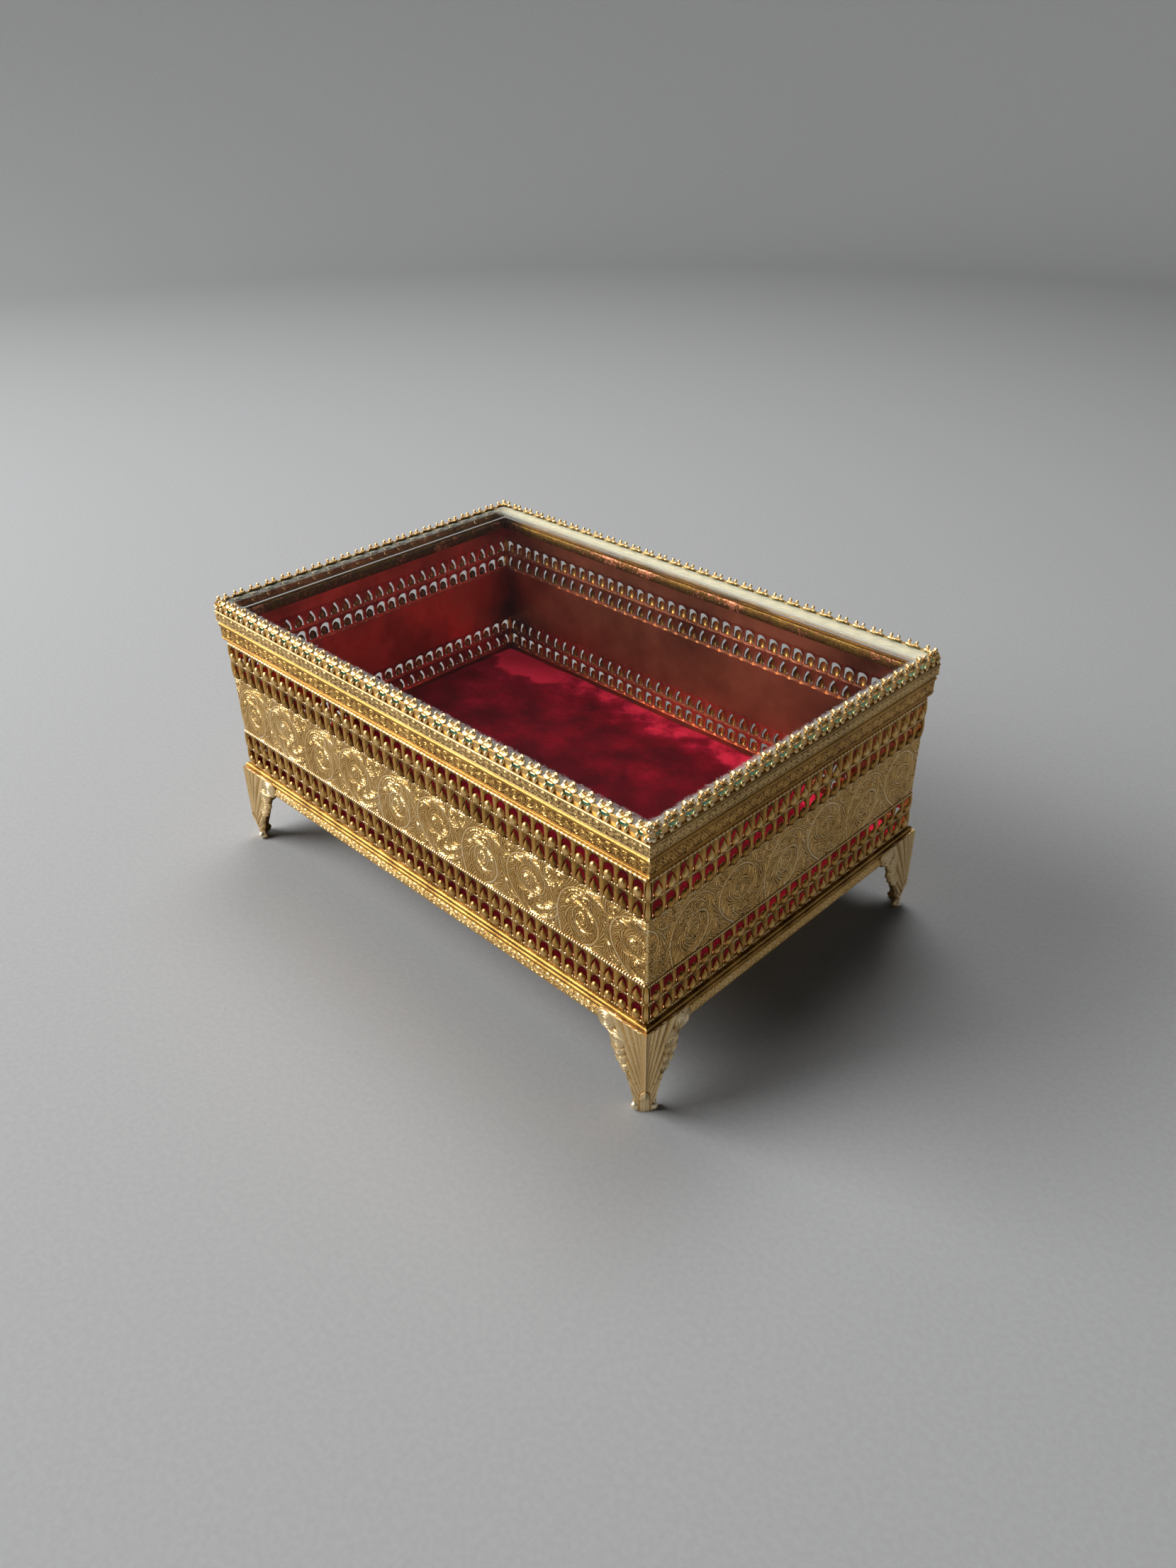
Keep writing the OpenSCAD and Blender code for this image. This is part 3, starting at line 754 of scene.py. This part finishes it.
def addBuds(shape, side, middles, outline, sill, wallOut, shine):
    # hollow buds: at each height half an ellipse in front and a smaller one behind it
    z, half = np.array(outline).T
    rise = np.linspace(0, 1, len(z))
    around = np.radians(np.linspace(0, 180, 8))
    lean = row["lean"][0] + (row["lean"][1] - row["lean"][0]) * rise
    front = np.stack([half[:, None] * np.cos(around),
                      lean[:, None] + row["budDepth"] * half[:, None] * np.sin(around)], -1)
    behind = front[:, ::-1] * row["hollow"] - [0, 0.1]
    behind[..., 1] += 0.28 * lean[:, None] - 0.08
    loop = np.concatenate([front, behind[:, 1:-1]], 1)
    rows, size = loop.shape[:2]
    points = loop.reshape(-1, 2)
    heights = np.repeat(z, size)
    # painted sheen: the further a point stands out to the front, the lighter
    level = shine[0] + (shine[1] - shine[0]) * np.clip((points[:, 1] - 0.1) / 1.1, 0, 1)
    world = onSide(side, middles[:, None] + points[:, 0], wallOut + points[:, 1], sill + heights)
    shape.copies(world, tubeQuads(rows, size), level[None])


def addPearls(shape, side, xs, z, out, radius, squash=1.0, shine=0.95):
    # small round drops, each a ball of a few dozen faces
    around = fullTurn(8)
    up = np.radians([-60, -20, 20, 60])
    height = np.broadcast_to(np.sin(up)[:, None], (4, 8)) * squash
    ball = np.stack([np.cos(up)[:, None] * np.cos(around), height,
                     np.cos(up)[:, None] * np.sin(around)], -1).reshape(-1, 3)
    poles = np.array([[0, -squash, 0], [0, squash, 0]])
    points = radius * np.concatenate([ball, poles])
    quads = gridQuads(4, 8, closed=True)
    k = np.arange(8)
    caps = np.concatenate([np.stack([np.full(8, 32), (k + 1) % 8, k], -1),
                           np.stack([np.full(8, 33), 24 + k, 24 + (k + 1) % 8], -1)])
    start = shape.count
    xs = np.asarray(xs, float)
    world = onSide(side, xs[:, None] + points[:, 0], out + points[:, 2], z + points[:, 1])
    shape.copies(world, quads, np.full((1, len(points)), shine))
    steps = (start + np.arange(len(xs)) * len(points))[:, None, None]
    shape.faces += (caps[None] + steps).reshape(-1, 3).tolist()


def addBeadRail(shape, side, z, pitch):
    # a half-round string whose radius swells and narrows with each bead; relief follows the radius
    run = 2 * (halfRun(side) - wall["inset"]) - 0.2
    beads = round(run / pitch)
    parts = np.arange(beads * 4 + 1)
    x = (parts / 4 - beads / 2) * run / beads
    swell = np.array([0.62, 0.95, 1.05, 0.95])[parts % 4] * wall["railRadius"]
    angles = np.radians([-80, -40, 0, 40, 80])
    out = swell[:, None] * np.cos(angles) * 1.1
    rise = swell[:, None] * np.sin(angles)
    out = np.concatenate([out, np.full((len(x), 2), -0.3)], 1)
    rise = np.concatenate([rise, rise[:, -1:], rise[:, :1]], 1)
    level = np.broadcast_to(0.35 + 0.6 * (swell / swell.max() - 0.59)[:, None] / 0.41, out.shape)
    shape.addLoops(onSide(side, x[:, None], halfOut(side) - wall["inset"] + out, z + rise), level)


def addBar(shape, side, reach, faces, heights, levels):
    # a straight bar: half its length, then its outer and inner face, its foot and head, and the two
    # faces' relief values
    outer, inner = faces
    low, high = heights
    place = onSide(side, np.array([[-1.0], [1.0]]) * reach, np.array([outer, outer, inner, inner]),
                   np.array([low, high, high, low]))
    shape.addLoops(place, np.tile(np.repeat(levels, 2), (2, 1)))


def addPlate(shape, side, low, high):
    # a plain stretch of wall plate
    outer = halfOut(side) - wall["inset"]
    reach = halfRun(side) - wall["inset"] - (0 if side in longSides else wall["thick"])
    addBar(shape, side, reach, (outer, outer - wall["thick"]), (low, high), (0.4, wall["inside"]))


def addCornerLeaves(shape, side):
    # slim leafy posts that close the corner beside the pierced rows: the radius swells and narrows
    # once for each row
    x = halfRun(side) - wall["inset"] - 0.45
    out = halfOut(side) - wall["inset"] - 0.45
    around = fullTurn(10)
    for low in (railHeights[0], railHeights[1], railHeights[3], railHeights[4]):
        t = np.linspace(0, 1, 9)[:, None]
        radius = 0.7 + 0.25 * np.sin(np.pi * t ** 0.75) ** 1.5 * (1 + 0.12 * np.cos(5 * around))
        z = low + wall["rowHeight"] * t
        shape.addLoops(onSide(side, x + radius * np.cos(around), out + radius * np.sin(around), z),
                       0.3 + 0.4 * (radius - 0.7) / 0.28)


def makeGallery(side):
    shape = Shape()
    for index in (0, 1, 3, 4):
        addRow(shape, side, index)
    for index, z in enumerate(railHeights):
        addBeadRail(shape, side, z, wall["topBeadPitch"] if index == 5 else wall["beadPitch"])
    addPlate(shape, side, wallLow[2], railHeights[0])
    addPlate(shape, side, railHeights[5], wallHigh[2])
    addCornerLeaves(shape, side)
    makePiece("gallery_" + side, shape, sideGilt(side), "casket", ["wall_" + side])


for side in sides:
    makeGallery(side)
print("casket: pierced rows made")


rim = {
    "face": -0.4,  # trim face behind the lid's face
    "groove": -0.85,
    "bandLow": 75.2,
    "bandHigh": 78.5,
    "lip": 0.8,
    "rise": 0.3,
    "vine": (5.2, 1.6, 0.95),  # repeat, reach up and down, repeat of the veins
    "contrast": (0.02, 0.75, 0.36),  # relief value of the band's ground, what the chasing adds, plain metal
    "inside": 0.07,  # relief value of the dark inner face
}


def bandRelief(look, low, high, faceU, innerU):
    # an engraved band between two heights, plain metal round it and a tone of its own on the inner face
    ground, added, plain = look["contrast"]

    def relief(x, u, z):
        mask = inBand(z, u, low, high, faceU)
        height = vineBand(x, z - (low + high) / 2, *look["vine"])
        level = np.where(mask > 0, mask * (ground + added * height) + plain * (1 - mask), plain)
        return mask * look["rise"] * height, np.where(u > innerU, level, look["inside"])

    return relief


def makeRim(side):
    inner = -wall["inset"] - wall["thick"]
    lipTop = rimHigh[2]
    groove, face = rim["groove"], rim["face"]
    profile = profileRun([(-wall["inset"], rimLow[2]), (groove, rimLow[2] + 0.1), (groove + 0.15, 74.5),
                          (groove, 74.75), (face - 0.15, 75.0), (face - 0.2, rim["bandLow"])], 1)
    profile += profileRun([(face - 0.35, rim["bandLow"] + 0.05), (face - 0.35, rim["bandHigh"])],
                          moulding["fine"])
    profile += list(arcPoints((face - rim["lip"], lipTop - rim["lip"]), rim["lip"], -35, 90, 7))
    profile += [(inner - 0.3, lipTop), (inner - 0.6, lipTop - 0.3), (inner - 0.6, lipTop - 3),
                (inner, lipTop - 3), (inner, wallHigh[2]), (-wall["inset"], wallHigh[2])]
    shape = Shape()
    addMoulding(shape, side, profile, moulding["step"],
                bandRelief(rim, rim["bandLow"], rim["bandHigh"], face - 0.5, inner))
    makePiece("rim_trim_" + side, shape, trimGilt, "casket", ["rim_" + side])


baseTrim = {
    "bandTop": 2.45,  # heights are above the trim's foot
    "groove": 2.55,
    "grooveHalf": 0.15,
    "rise": 0.3,
    "vine": (3.7, 1.15, 0.62),
    "contrast": (0.35, 0.65),
    "grooveLevel": 0.08,
    "rollLevel": (0.28, 0.12, 0.05),  # mean, swing over the height, swing along the side
}


def makeBaseTrim(side):
    face, back, low = rim["face"], -wall["inset"], trimLow[2]
    profile = [(back, low), (face + 0.1, low)]
    profile += profileRun([(face + 0.1, low + 0.05), (face - 0.6, low + baseTrim["bandTop"])],
                          moulding["fine"])
    profile += [(face - 0.95, low + baseTrim["groove"])]
    profile += list(arcPoints((face - 0.85, low + 3.35), 0.85, -60, 60, 6))
    profile += list(arcPoints((face - 0.75, low + 5.1), 0.75, -60, 75, 6))
    profile += [(back, trimHigh[2])]

    def relief(x, u, z):
        # an engraved band, a dark groove over it and two rolls with fine lines
        mask = inBand(z, u, low - 0.3, low + 2.5, face - 0.8)
        height = vineBand(x, z - low - 1.25, *baseTrim["vine"])
        groove = np.abs(z - low - baseTrim["groove"]) < baseTrim["grooveHalf"]
        mean, overHeight, alongSide = baseTrim["rollLevel"]
        roll = mean + overHeight * np.cos(2 * np.pi * (z - low) / 0.9) + alongSide * np.sin(0.7 * x)
        ground, added = baseTrim["contrast"]
        level = np.where(mask > 0, mask * (ground + added * height), roll)
        return mask * baseTrim["rise"] * height, np.where(groove, baseTrim["grooveLevel"], level)

    shape = Shape()
    addMoulding(shape, side, profile, moulding["step"], relief)
    makePiece("base_moulding_" + side, shape, trimGilt, "casket", ["base_trim_" + side])


lid = {
    "wall": 1.1,
    "inside": 0.25,  # relief value of the inner face
    "ledge": 0.9,
    "ledgeThick": 0.8,
    "waveLow": 0.45,  # above the band's foot
    "waveHigh": 2.85,
    "rise": 0.27,
    "vine": (4.4, 1.25, 0.8),
    "contrast": (0.02, 0.72, 0.34),
    "leafPitch": 5.75,
    "pearl": (0.66, 0.84),  # half width and half height
    "pearlGap": 1.2,  # half the distance between the two pearls of a leaf
    # gallery that stands round the glass: window's foot and head and the gallery's top, above the band
    "gallery": (0.8, 2.2, 2.45),
    "galleryOut": -0.95,  # middle of its thickness, from the lid's face
    "galleryThick": 0.4,
    "post": 2.65,
    "leafRoot": 2.2,  # above the band
    "leafLength": 2.6,
    "lean": (62, 8),  # leaf's slope at its root and at its tip, degrees
    # right half of a leaf's outline: across, and along the leaf
    "leaf": ((0.7, -0.3), (0.95, 0.05), (1.5, -0.02), (2.15, 0.3), (2.42, 0.85), (2.1, 1.4), (1.5, 1.52),
             (1.1, 1.66), (1.14, 2.05), (0.8, 2.48), (0.15, 2.66)),
    "lobes": ((-1.6, 0.75, 0.9), (1.6, 0.75, 0.9), (0.0, 1.8, 1.0)),  # across, along, radius
    "seed": 0.2,  # pearl in each lobe
    "cup": (1.18, 0.45, 1.65, 0.56, 1.1),  # upright drops: across, inward, up, radius, stretch
    "rings": (0.05, 0.3, 0.55, 0.75, 0.9, 1.0),  # of a leaf's mesh, from its middle to its outline
    "leafMiddle": 1.15,  # along the leaf
    "dropShine": 0.86,
    # berries at the corner: back from the lid's end, inward, up, radius
    "cluster": ((0.75, 0.75, -1.7, 0.72), (1.3, 1.3, -0.35, 0.8), (2.4, 1.3, -0.1, 0.5),
                (2.1, 2.1, 0.35, 0.6), (3.0, 2.2, 0.45, 0.42)),
}


def addPosts(shape, side, xs, low, high, halfWidth, halfDepth, out):
    # upright posts with rounded corners: an oval drawn out towards its corners, at two heights
    turn = np.radians(np.arange(12) * 30 + 15)
    x = halfWidth * np.sign(np.cos(turn)) * np.abs(np.cos(turn)) ** 0.5
    depth = halfDepth * np.sign(np.sin(turn)) * np.abs(np.sin(turn)) ** 0.5
    x, depth, z = np.tile(x, 2), np.tile(depth, 2), np.repeat([low, high], 12)
    shape.copies(onSide(side, xs[:, None] + x, out + depth, z), tubeQuads(2, 12), 0.62)


def addGallery(shape, side, xs, foot):
    # two strips along the side with the posts between them leave a flat window over each pair of pearls
    sill, head, top = (foot + h for h in lid["gallery"])
    out, deep = halfOut(side) + lid["galleryOut"], lid["galleryThick"] / 2
    reach = halfRun(side) + lid["galleryOut"]
    for low, high in ((foot - 0.1, sill), (head, top)):
        addBar(shape, side, reach + np.array([deep, deep, -deep, -deep]), (out + deep, out - deep),
               (low, high), (0.5, 0.5))
    xs[[0, -1]] *= (reach - lid["post"] / 4) / halfRun(side)
    addPosts(shape, side, xs, sill - 0.1, head + 0.1, lid["post"] / 2, deep + 0.06, out)


def leafLine(along):
    # a leaf's middle line, whose slope falls evenly from root to tip: inward distance, height and slope
    s = np.linspace(-0.3, lid["leafLength"] + 0.2, 80)
    slope = np.radians(lid["lean"][0] + (lid["lean"][1] - lid["lean"][0]) * s / lid["leafLength"])
    step = s[1] - s[0]
    inward = np.cumsum(np.cos(slope)) * step
    up = np.cumsum(np.sin(slope)) * step
    return tuple(np.interp(along, s, v - v[9] * (i < 2)) for i, v in enumerate((inward, up, slope)))


def addCrestLeaves(shape, side, middles, root, rootZ):
    # three-lobed leaves that lean in over the glass: rings from a middle point to the outline, with a
    # dome for each lobe and flutes that spread from the root
    right = curveThrough(lid["leaf"], 0.36)
    outline = np.concatenate([right, right[::-1] * [-1, 1]])
    centre = np.array([0, lid["leafMiddle"]])
    step = np.array(lid["rings"])[:, None, None]
    flat = centre + (outline - centre) * step
    x, along = flat[..., 0], flat[..., 1]
    dome = np.zeros_like(x)
    for lobeX, lobeS, radius in lid["lobes"]:
        dome = np.maximum(dome, domeAt(np.hypot(x - lobeX, along - lobeS) / radius))
    flutes = 0.11 * np.cos(2 * np.pi * np.arctan2(x, along + 0.7) / 0.27) * (1 - smoothStep(0.75, 1.0, dome))
    lift = 0.34 * dome + flutes
    lift = np.stack([lift, np.minimum(lift - 0.15, -0.3)])
    inward, up, slope = leafLine(along)
    place = np.stack([np.broadcast_to(x, lift.shape), inward - lift * np.sin(slope),
                      up + lift * np.cos(slope)], -1)
    rings, size = x.shape
    points = np.concatenate([place[0], place[1][::-1]]).reshape(-1, 3)
    level = np.concatenate([0.58 + 0.35 * dome + 1.8 * flutes, np.full(x.shape, 0.25)]).reshape(1, -1)
    shape.copies(onSide(side, middles[:, None] + points[:, 0], root - points[:, 1], rootZ + points[:, 2]),
                 tubeQuads(2 * rings, size), np.clip(level, 0.05, 1))
    across, inwardCup, upCup, radius, stretch = lid["cup"]
    for hand in (-1, 1):
        addPearls(shape, side, middles + hand * across, rootZ + upCup, root - inwardCup, radius, stretch,
                  lid["dropShine"])
    for lobeX, lobeS, radius in lid["lobes"]:
        seedIn, seedUp, slope = leafLine(lobeS)
        addPearls(shape, side, middles + lobeX, rootZ + seedUp + 0.3 * np.cos(slope),
                  root - seedIn + 0.3 * np.sin(slope), lid["seed"])


def addCluster(shape, side, root, rootZ):
    # berries and drops that close the crest at the corner
    for x, inward, up, radius in lid["cluster"]:
        addPearls(shape, side, [halfRun(side) - x], rootZ + up, root - inward, radius)


def makeLidFrame(side):
    back = -lid["wall"]
    low, top = bandLow, glassLow[2]
    waveLow, waveHigh = low + lid["waveLow"], low + lid["waveHigh"]
    profile = [(back, low), (-0.35, low), (-0.1, low + 0.2), (-0.2, waveLow - 0.05)]
    profile += profileRun([(-0.22, waveLow), (-0.22, waveHigh)], moulding["fine"])
    profile += [(-0.14, waveHigh + 0.06), (-0.04, waveHigh + 0.3), (-0.12, waveHigh + 0.55),
                (-0.3, waveHigh + 0.65), (-0.25, top), (back, top + 0.1), (back, top),
                (back - lid["ledge"], top),
                (back - lid["ledge"], top - lid["ledgeThick"]), (back, top - lid["ledgeThick"])]
    middles, ends = spread(2 * halfRun(side), lid["leafPitch"])[1:]
    shape = Shape()
    addMoulding(shape, side, profile, moulding["step"], bandRelief(lid, waveLow, waveHigh, -0.4, back + 0.01))
    width, tall = lid["pearl"]
    for hand in (-1, 1):
        addPearls(shape, side, middles + hand * lid["pearlGap"], top + tall - 0.1, halfOut(side) - 0.5,
                  width, tall / width, lid["dropShine"])
    addGallery(shape, side, ends, top)
    addCrestLeaves(shape, side, middles, halfOut(side) + lid["galleryOut"], top + lid["leafRoot"])
    addCluster(shape, side, halfOut(side), top + lid["leafRoot"] + 0.6)
    makePiece("lid_crest_" + side, shape, paintedLitLidGilt, "lid", ["lid_frame_" + side])


for side in sides:
    makeRim(side)
    makeBaseTrim(side)
    makeLidFrame(side)
print("casket: rim, base trim and lid frame made")


foot = {
    "outset": 0.5,
    "thick": 0.6,
    "height": 27.7,
    "rows": 150,
    "columns": 56,
    # outer edge below the lobes: height above the floor and distance from the corner
    "blade": [(0, 4.3), (0.7, 5.0), (1.5, 5.0), (2.3, 4.4), (3.2, 4.4), (5.0, 5.2), (7.0, 5.9), (9.0, 6.6),
              (11.0, 7.5), (13.3, 8.8), (15.5, 10.2), (18.5, 11.4), (22.0, 12.3), (24.0, 13.5),
              (27.0, 13.0), (27.6, 11.0)],
    # lobes along the edge, from the top: middle's distance from the corner and height, radius
    "lobes": [(14.0, 24.4, 3.1), (10.3, 20.2, 2.7), (10.0, 17.2, 2.4), (9.0, 14.6, 2.0), (7.7, 12.4, 1.7)],
    "ringWidth": 0.8,  # of the fine lines in a lobe
    "ball": (3.9, 1.35, 1.35),
    "face": -0.55,  # from the outer corner to the leaf's ground
    "relief": (1.2, -0.38),  # outward is the relief times the first plus the second
    "shade": (1.15, 0.02),  # and the relief value likewise
    "insideLevel": 0.1,
    "chamfer": 2.6,  # width cut off the corner at the toe; none above 8 mm
    "tongue": 8.4,  # height of the pointed tongue at the toe
}


def footEdge(z):
    # distance of the leaf's outer edge from the corner: the blade's edge or a lobe, whichever is further
    bladeZ, bladeD = np.array(foot["blade"]).T
    edge = np.interp(z, bladeZ, bladeD)
    for d, cz, r in foot["lobes"]:
        lobe = d + np.sqrt(np.clip(r * r - (z - cz) ** 2, 0, None))
        edge = np.where(np.abs(z - cz) < r, np.maximum(edge, lobe), edge)
    return edge


def footRelief(d, z, edge):
    # long ribs rise from the toe and bend outward: all along one rib the distance from the corner is
    # the same multiple of a power of the height
    rib = np.log((d + 0.8) / (z + 2.5) ** 1.45) / 0.4
    height = 0.45 + 0.2 * np.cos(2 * np.pi * rib) * smoothStep(0.6, 3.0, d)
    # lobes with rings lie over the ribs, the upper over the lower
    for number, (cd, cz, r) in list(enumerate(foot["lobes"]))[::-1]:
        ring = np.hypot(d - cd, z - cz)
        inside = smoothStep(r * 1.05, r * 0.9, ring)
        lines = (0.13 if number == 0 else 0.1) * np.cos(2 * np.pi * ring / foot["ringWidth"])
        height = height * (1 - inside) + inside * (0.4 + 0.3 * domeAt(ring / (r * 1.05)) + lines)
        height -= 0.18 * bell(ring - r * 1.08, 0.25) * smoothStep(cz + 0.6 * r, cz - 0.4 * r, z)
    # a raised border runs along the edge below the lobes
    border = bell(d - edge + 0.55, 0.4) * (1 - smoothStep(10.0, 12.0, z))
    height = np.maximum(height, 0.75 * border)
    # tongue: a five-sided plate with a groove round it
    gap = 2.3 - d - 0.8 * np.clip(z - foot["tongue"] + 2.0, 0, None)
    below = z < foot["tongue"] + 1.2
    tongue = smoothStep(0, 0.25, gap) * below
    height = height * (1 - tongue) + 0.62 * tongue - 0.3 * bell(gap, 0.18) * below
    cd, cz, r = foot["ball"]
    height = np.maximum(height, 1.35 * domeAt(np.hypot(d - cd, z - cz) / r))
    # halfway to an even height along the corner
    ridge = 0.5 * bell(d, 0.35)
    return height * (1 - ridge) + ridge


def makeFoot(x, y, name):
    rows, columns = foot["rows"], foot["columns"]
    z = np.linspace(0, foot["height"], rows)[:, None]
    edge = footEdge(z)
    t = np.linspace(0, 1, columns)
    d = t * edge
    relief = footRelief(d, z, edge)
    # the relief dies out at the leaf's edge
    outward = (foot["relief"][0] * relief + foot["relief"][1]) * smoothStep(0, 0.05, 1 - t)
    face = foot["face"]
    corner = np.array(lidHalf) + foot["outset"]
    # towards the toe the corner is cut off by a flat
    cut = foot["chamfer"] * smoothStep(8.0, 3.0, z)
    over = np.clip(cut - d, 0, None) / 2
    heights = np.broadcast_to(z, d.shape)

    def wings(along, out):
        # the same surface on both wings: along one side and outward from it, then the two exchanged
        return (np.stack([corner[0] + along, corner[1] + out, heights], -1),
                np.stack([corner[0] + out, corner[1] + along, heights], -1))

    wingA, wingB = wings(face + outward[:, :1] - d - over, face + outward - over)
    inset = face - foot["thick"]
    innerA, innerB = wings(inset - d * (1 - foot["thick"] / edge) - over, inset - over)
    innerA, innerB = innerA[:, ::-4][:, :-1], innerB[:, ::-4][:, :-1]
    # one loop per height: out along one wing, back inside it, then the other wing the same way
    loops = np.concatenate([wingA[:, ::-1], wingB[:, 1:], innerB, innerA[:, ::-1]], 1)
    shade = foot["shade"][0] * relief + foot["shade"][1]
    dark = np.full((rows, 2 * innerA.shape[1]), foot["insideLevel"])
    shape = Shape()
    shape.addLoops(loops * [x, y, 1], np.concatenate([shade[:, ::-1], shade[:, 1:], dark], 1))
    makePiece("leaf_" + name, shape, footGilt, "casket", [name])


for x, y, name in ((-1, -1, "foot_front_left"), (1, -1, "foot_front_right"),
                   (-1, 1, "foot_back_left"), (1, 1, "foot_back_right")):
    makeFoot(x, y, name)
print("casket: feet made")


pad = {
    "edge": 1.6,  # radius of the rounded edge
    "step": 0.9,
    "seed": 4,
    "waves": 14,  # summed in one soft noise
    "nap": 0.22,  # relief value of upright pile
    "napSwing": 0.1,
    "napBack": 0.52,  # lighter along the back
    "napCorner": 0.3,  # and in the back left corner
    # painted shadow: the pile is darker towards the front, where the front wall shades it
    "paintedShadeFront": -0.14,
    "under": 0.2,
}


def softNoise(x, y, size, rng):
    # a sum of long waves with random directions and phases, between about -1 and 1
    total = np.zeros_like(x)
    for turn, phase, stretch in rng.random((pad["waves"], 3)):
        k = 2 * np.pi / (size * (0.6 + stretch))
        turn, phase = turn * 6.283, phase * 6.283
        total += np.sin(k * (x * np.cos(turn) + y * np.sin(turn)) + phase)
    return total / math.sqrt(pad["waves"]) / 1.4


def makePad():
    rng = np.random.default_rng(pad["seed"])
    low, high = padLow, padHigh
    nx, ny = int((high[0] - low[0]) / pad["step"]), int((high[1] - low[1]) / pad["step"])
    x, y = np.meshgrid(np.linspace(low[0], high[0], nx), np.linspace(low[1], high[1], ny))
    inward = np.minimum(np.minimum(x - low[0], high[0] - x), np.minimum(y - low[1], high[1] - y))
    crown = domeAt(1 - np.clip(inward / pad["edge"], 0, 1))
    wave = softNoise(x, y, 38, rng) + 0.5 * softNoise(x, y, 14, rng)
    thick = high[2] - low[2]
    top = low[2] + 0.3 + (thick - 0.3 - 0.45) * crown + crown * (0.2 + 0.22 * wave)
    strip = smoothStep(17, 5, high[1] - y + 4 * softNoise(x, y, 30, rng) + 3 * softNoise(x, y, 9, rng))
    corner = smoothStep(34, 6, np.hypot(x - low[0] - 12, high[1] - 14 - y))
    # painted shadow of the front wall on the pile near the front
    front = smoothStep(50, 12, y - low[1])
    nap = pad["nap"] + pad["napSwing"] * softNoise(x, y, 45, rng)
    nap = np.clip(nap + pad["napBack"] * strip + pad["napCorner"] * corner + pad["paintedShadeFront"] * front, 0.0, 1)
    shape = Shape()
    shape.add(np.stack([x, y, np.minimum(top, high[2])], -1), gridQuads(ny, nx), nap)
    under = np.stack([x, y, np.full_like(x, low[2])], -1)
    shape.add(under, gridQuads(ny, nx), pad["under"])
    number = ny * nx
    index = np.arange(number).reshape(ny, nx)
    ring = np.concatenate([index[0, :-1], index[:-1, -1], index[-1, :0:-1], index[:0:-1, 0]])
    after = np.roll(ring, -1)
    shape.faces += np.stack([ring, after, after + number, ring + number], -1).tolist()
    piece = makePiece("velvet_cushion", shape, velvet, "casket", ["velvet_pad"], 80, merge=False)


makePad()
print("casket: velvet pad made")


studio = {
    "floor": (0.335, 0.337, 0.34),
    "bowlRadius": 1.5,  # metres
    "bowlCurve": 0.35,  # radius of the bend up to the wall
    "wallHeight": 0.55,
    "sides": 96,
    "world": (0.024, 0.024, 0.025),
    "window": {"place": (-0.92, -0.86, 0.80), "size": 1.05, "power": 39},
    "top": {"place": (-0.25, 0.34, 1.1), "size": 0.5, "power": 7.5},
}


def makeFloor():
    # a flat disc that turns up into a low wall: radius and height follow a profile, turned about Z
    bend = np.radians(np.linspace(0, 90, 12))
    radius, curve = studio["bowlRadius"], studio["bowlCurve"]
    r = np.concatenate([[0.25, 0.5, 0.8], radius - curve + curve * np.sin(bend), [radius]])
    z = np.concatenate([[0, 0, 0], curve * (1 - np.cos(bend)), [studio["wallHeight"]]])
    turns = studio["sides"]
    around = fullTurn(turns)
    points = np.stack([r[:, None] * np.cos(around), r[:, None] * np.sin(around),
                       np.broadcast_to(z[:, None], (len(r), turns))], -1).reshape(-1, 3)
    mesh = bpy.data.meshes.new("floor")
    faces = gridQuads(len(r), turns, closed=True)[:, ::-1].tolist() + [list(range(turns))]
    mesh.from_pydata(points.tolist(), [], faces)
    mesh.shade_smooth()
    tones = [(0.35, tuple(0.94 * c for c in studio["floor"])), (0.65, studio["floor"])]
    dull = {"Roughness": 0.95, "Specular IOR Level": 0.0}
    mesh.materials.append(grainMaterial("paleFloor", 700, 3, tones, dull))
    floor = bpy.data.objects.new("floor", mesh)
    bpy.context.scene.collection.objects.link(floor)


def makeLights():
    for name in ("window", "top"):
        lamp = studio[name]
        data = bpy.data.lights.new(name, "AREA")
        data.shape = "SQUARE"
        data.size = lamp["size"]
        data.energy = lamp["power"]
        light = bpy.data.objects.new(name, data)
        light.location = lamp["place"]
        light.rotation_euler = (-Vector(lamp["place"])).to_track_quat("-Z", "Y").to_euler()
        bpy.context.scene.collection.objects.link(light)
    world = bpy.data.worlds.new("studio")
    world.use_nodes = True
    world.node_tree.nodes["Background"].inputs["Color"].default_value = (*studio["world"], 1)
    bpy.context.scene.world = world
    bpy.context.scene.view_settings.view_transform = "Standard"


makeFloor()
makeLights()
print("casket: floor and lights made")
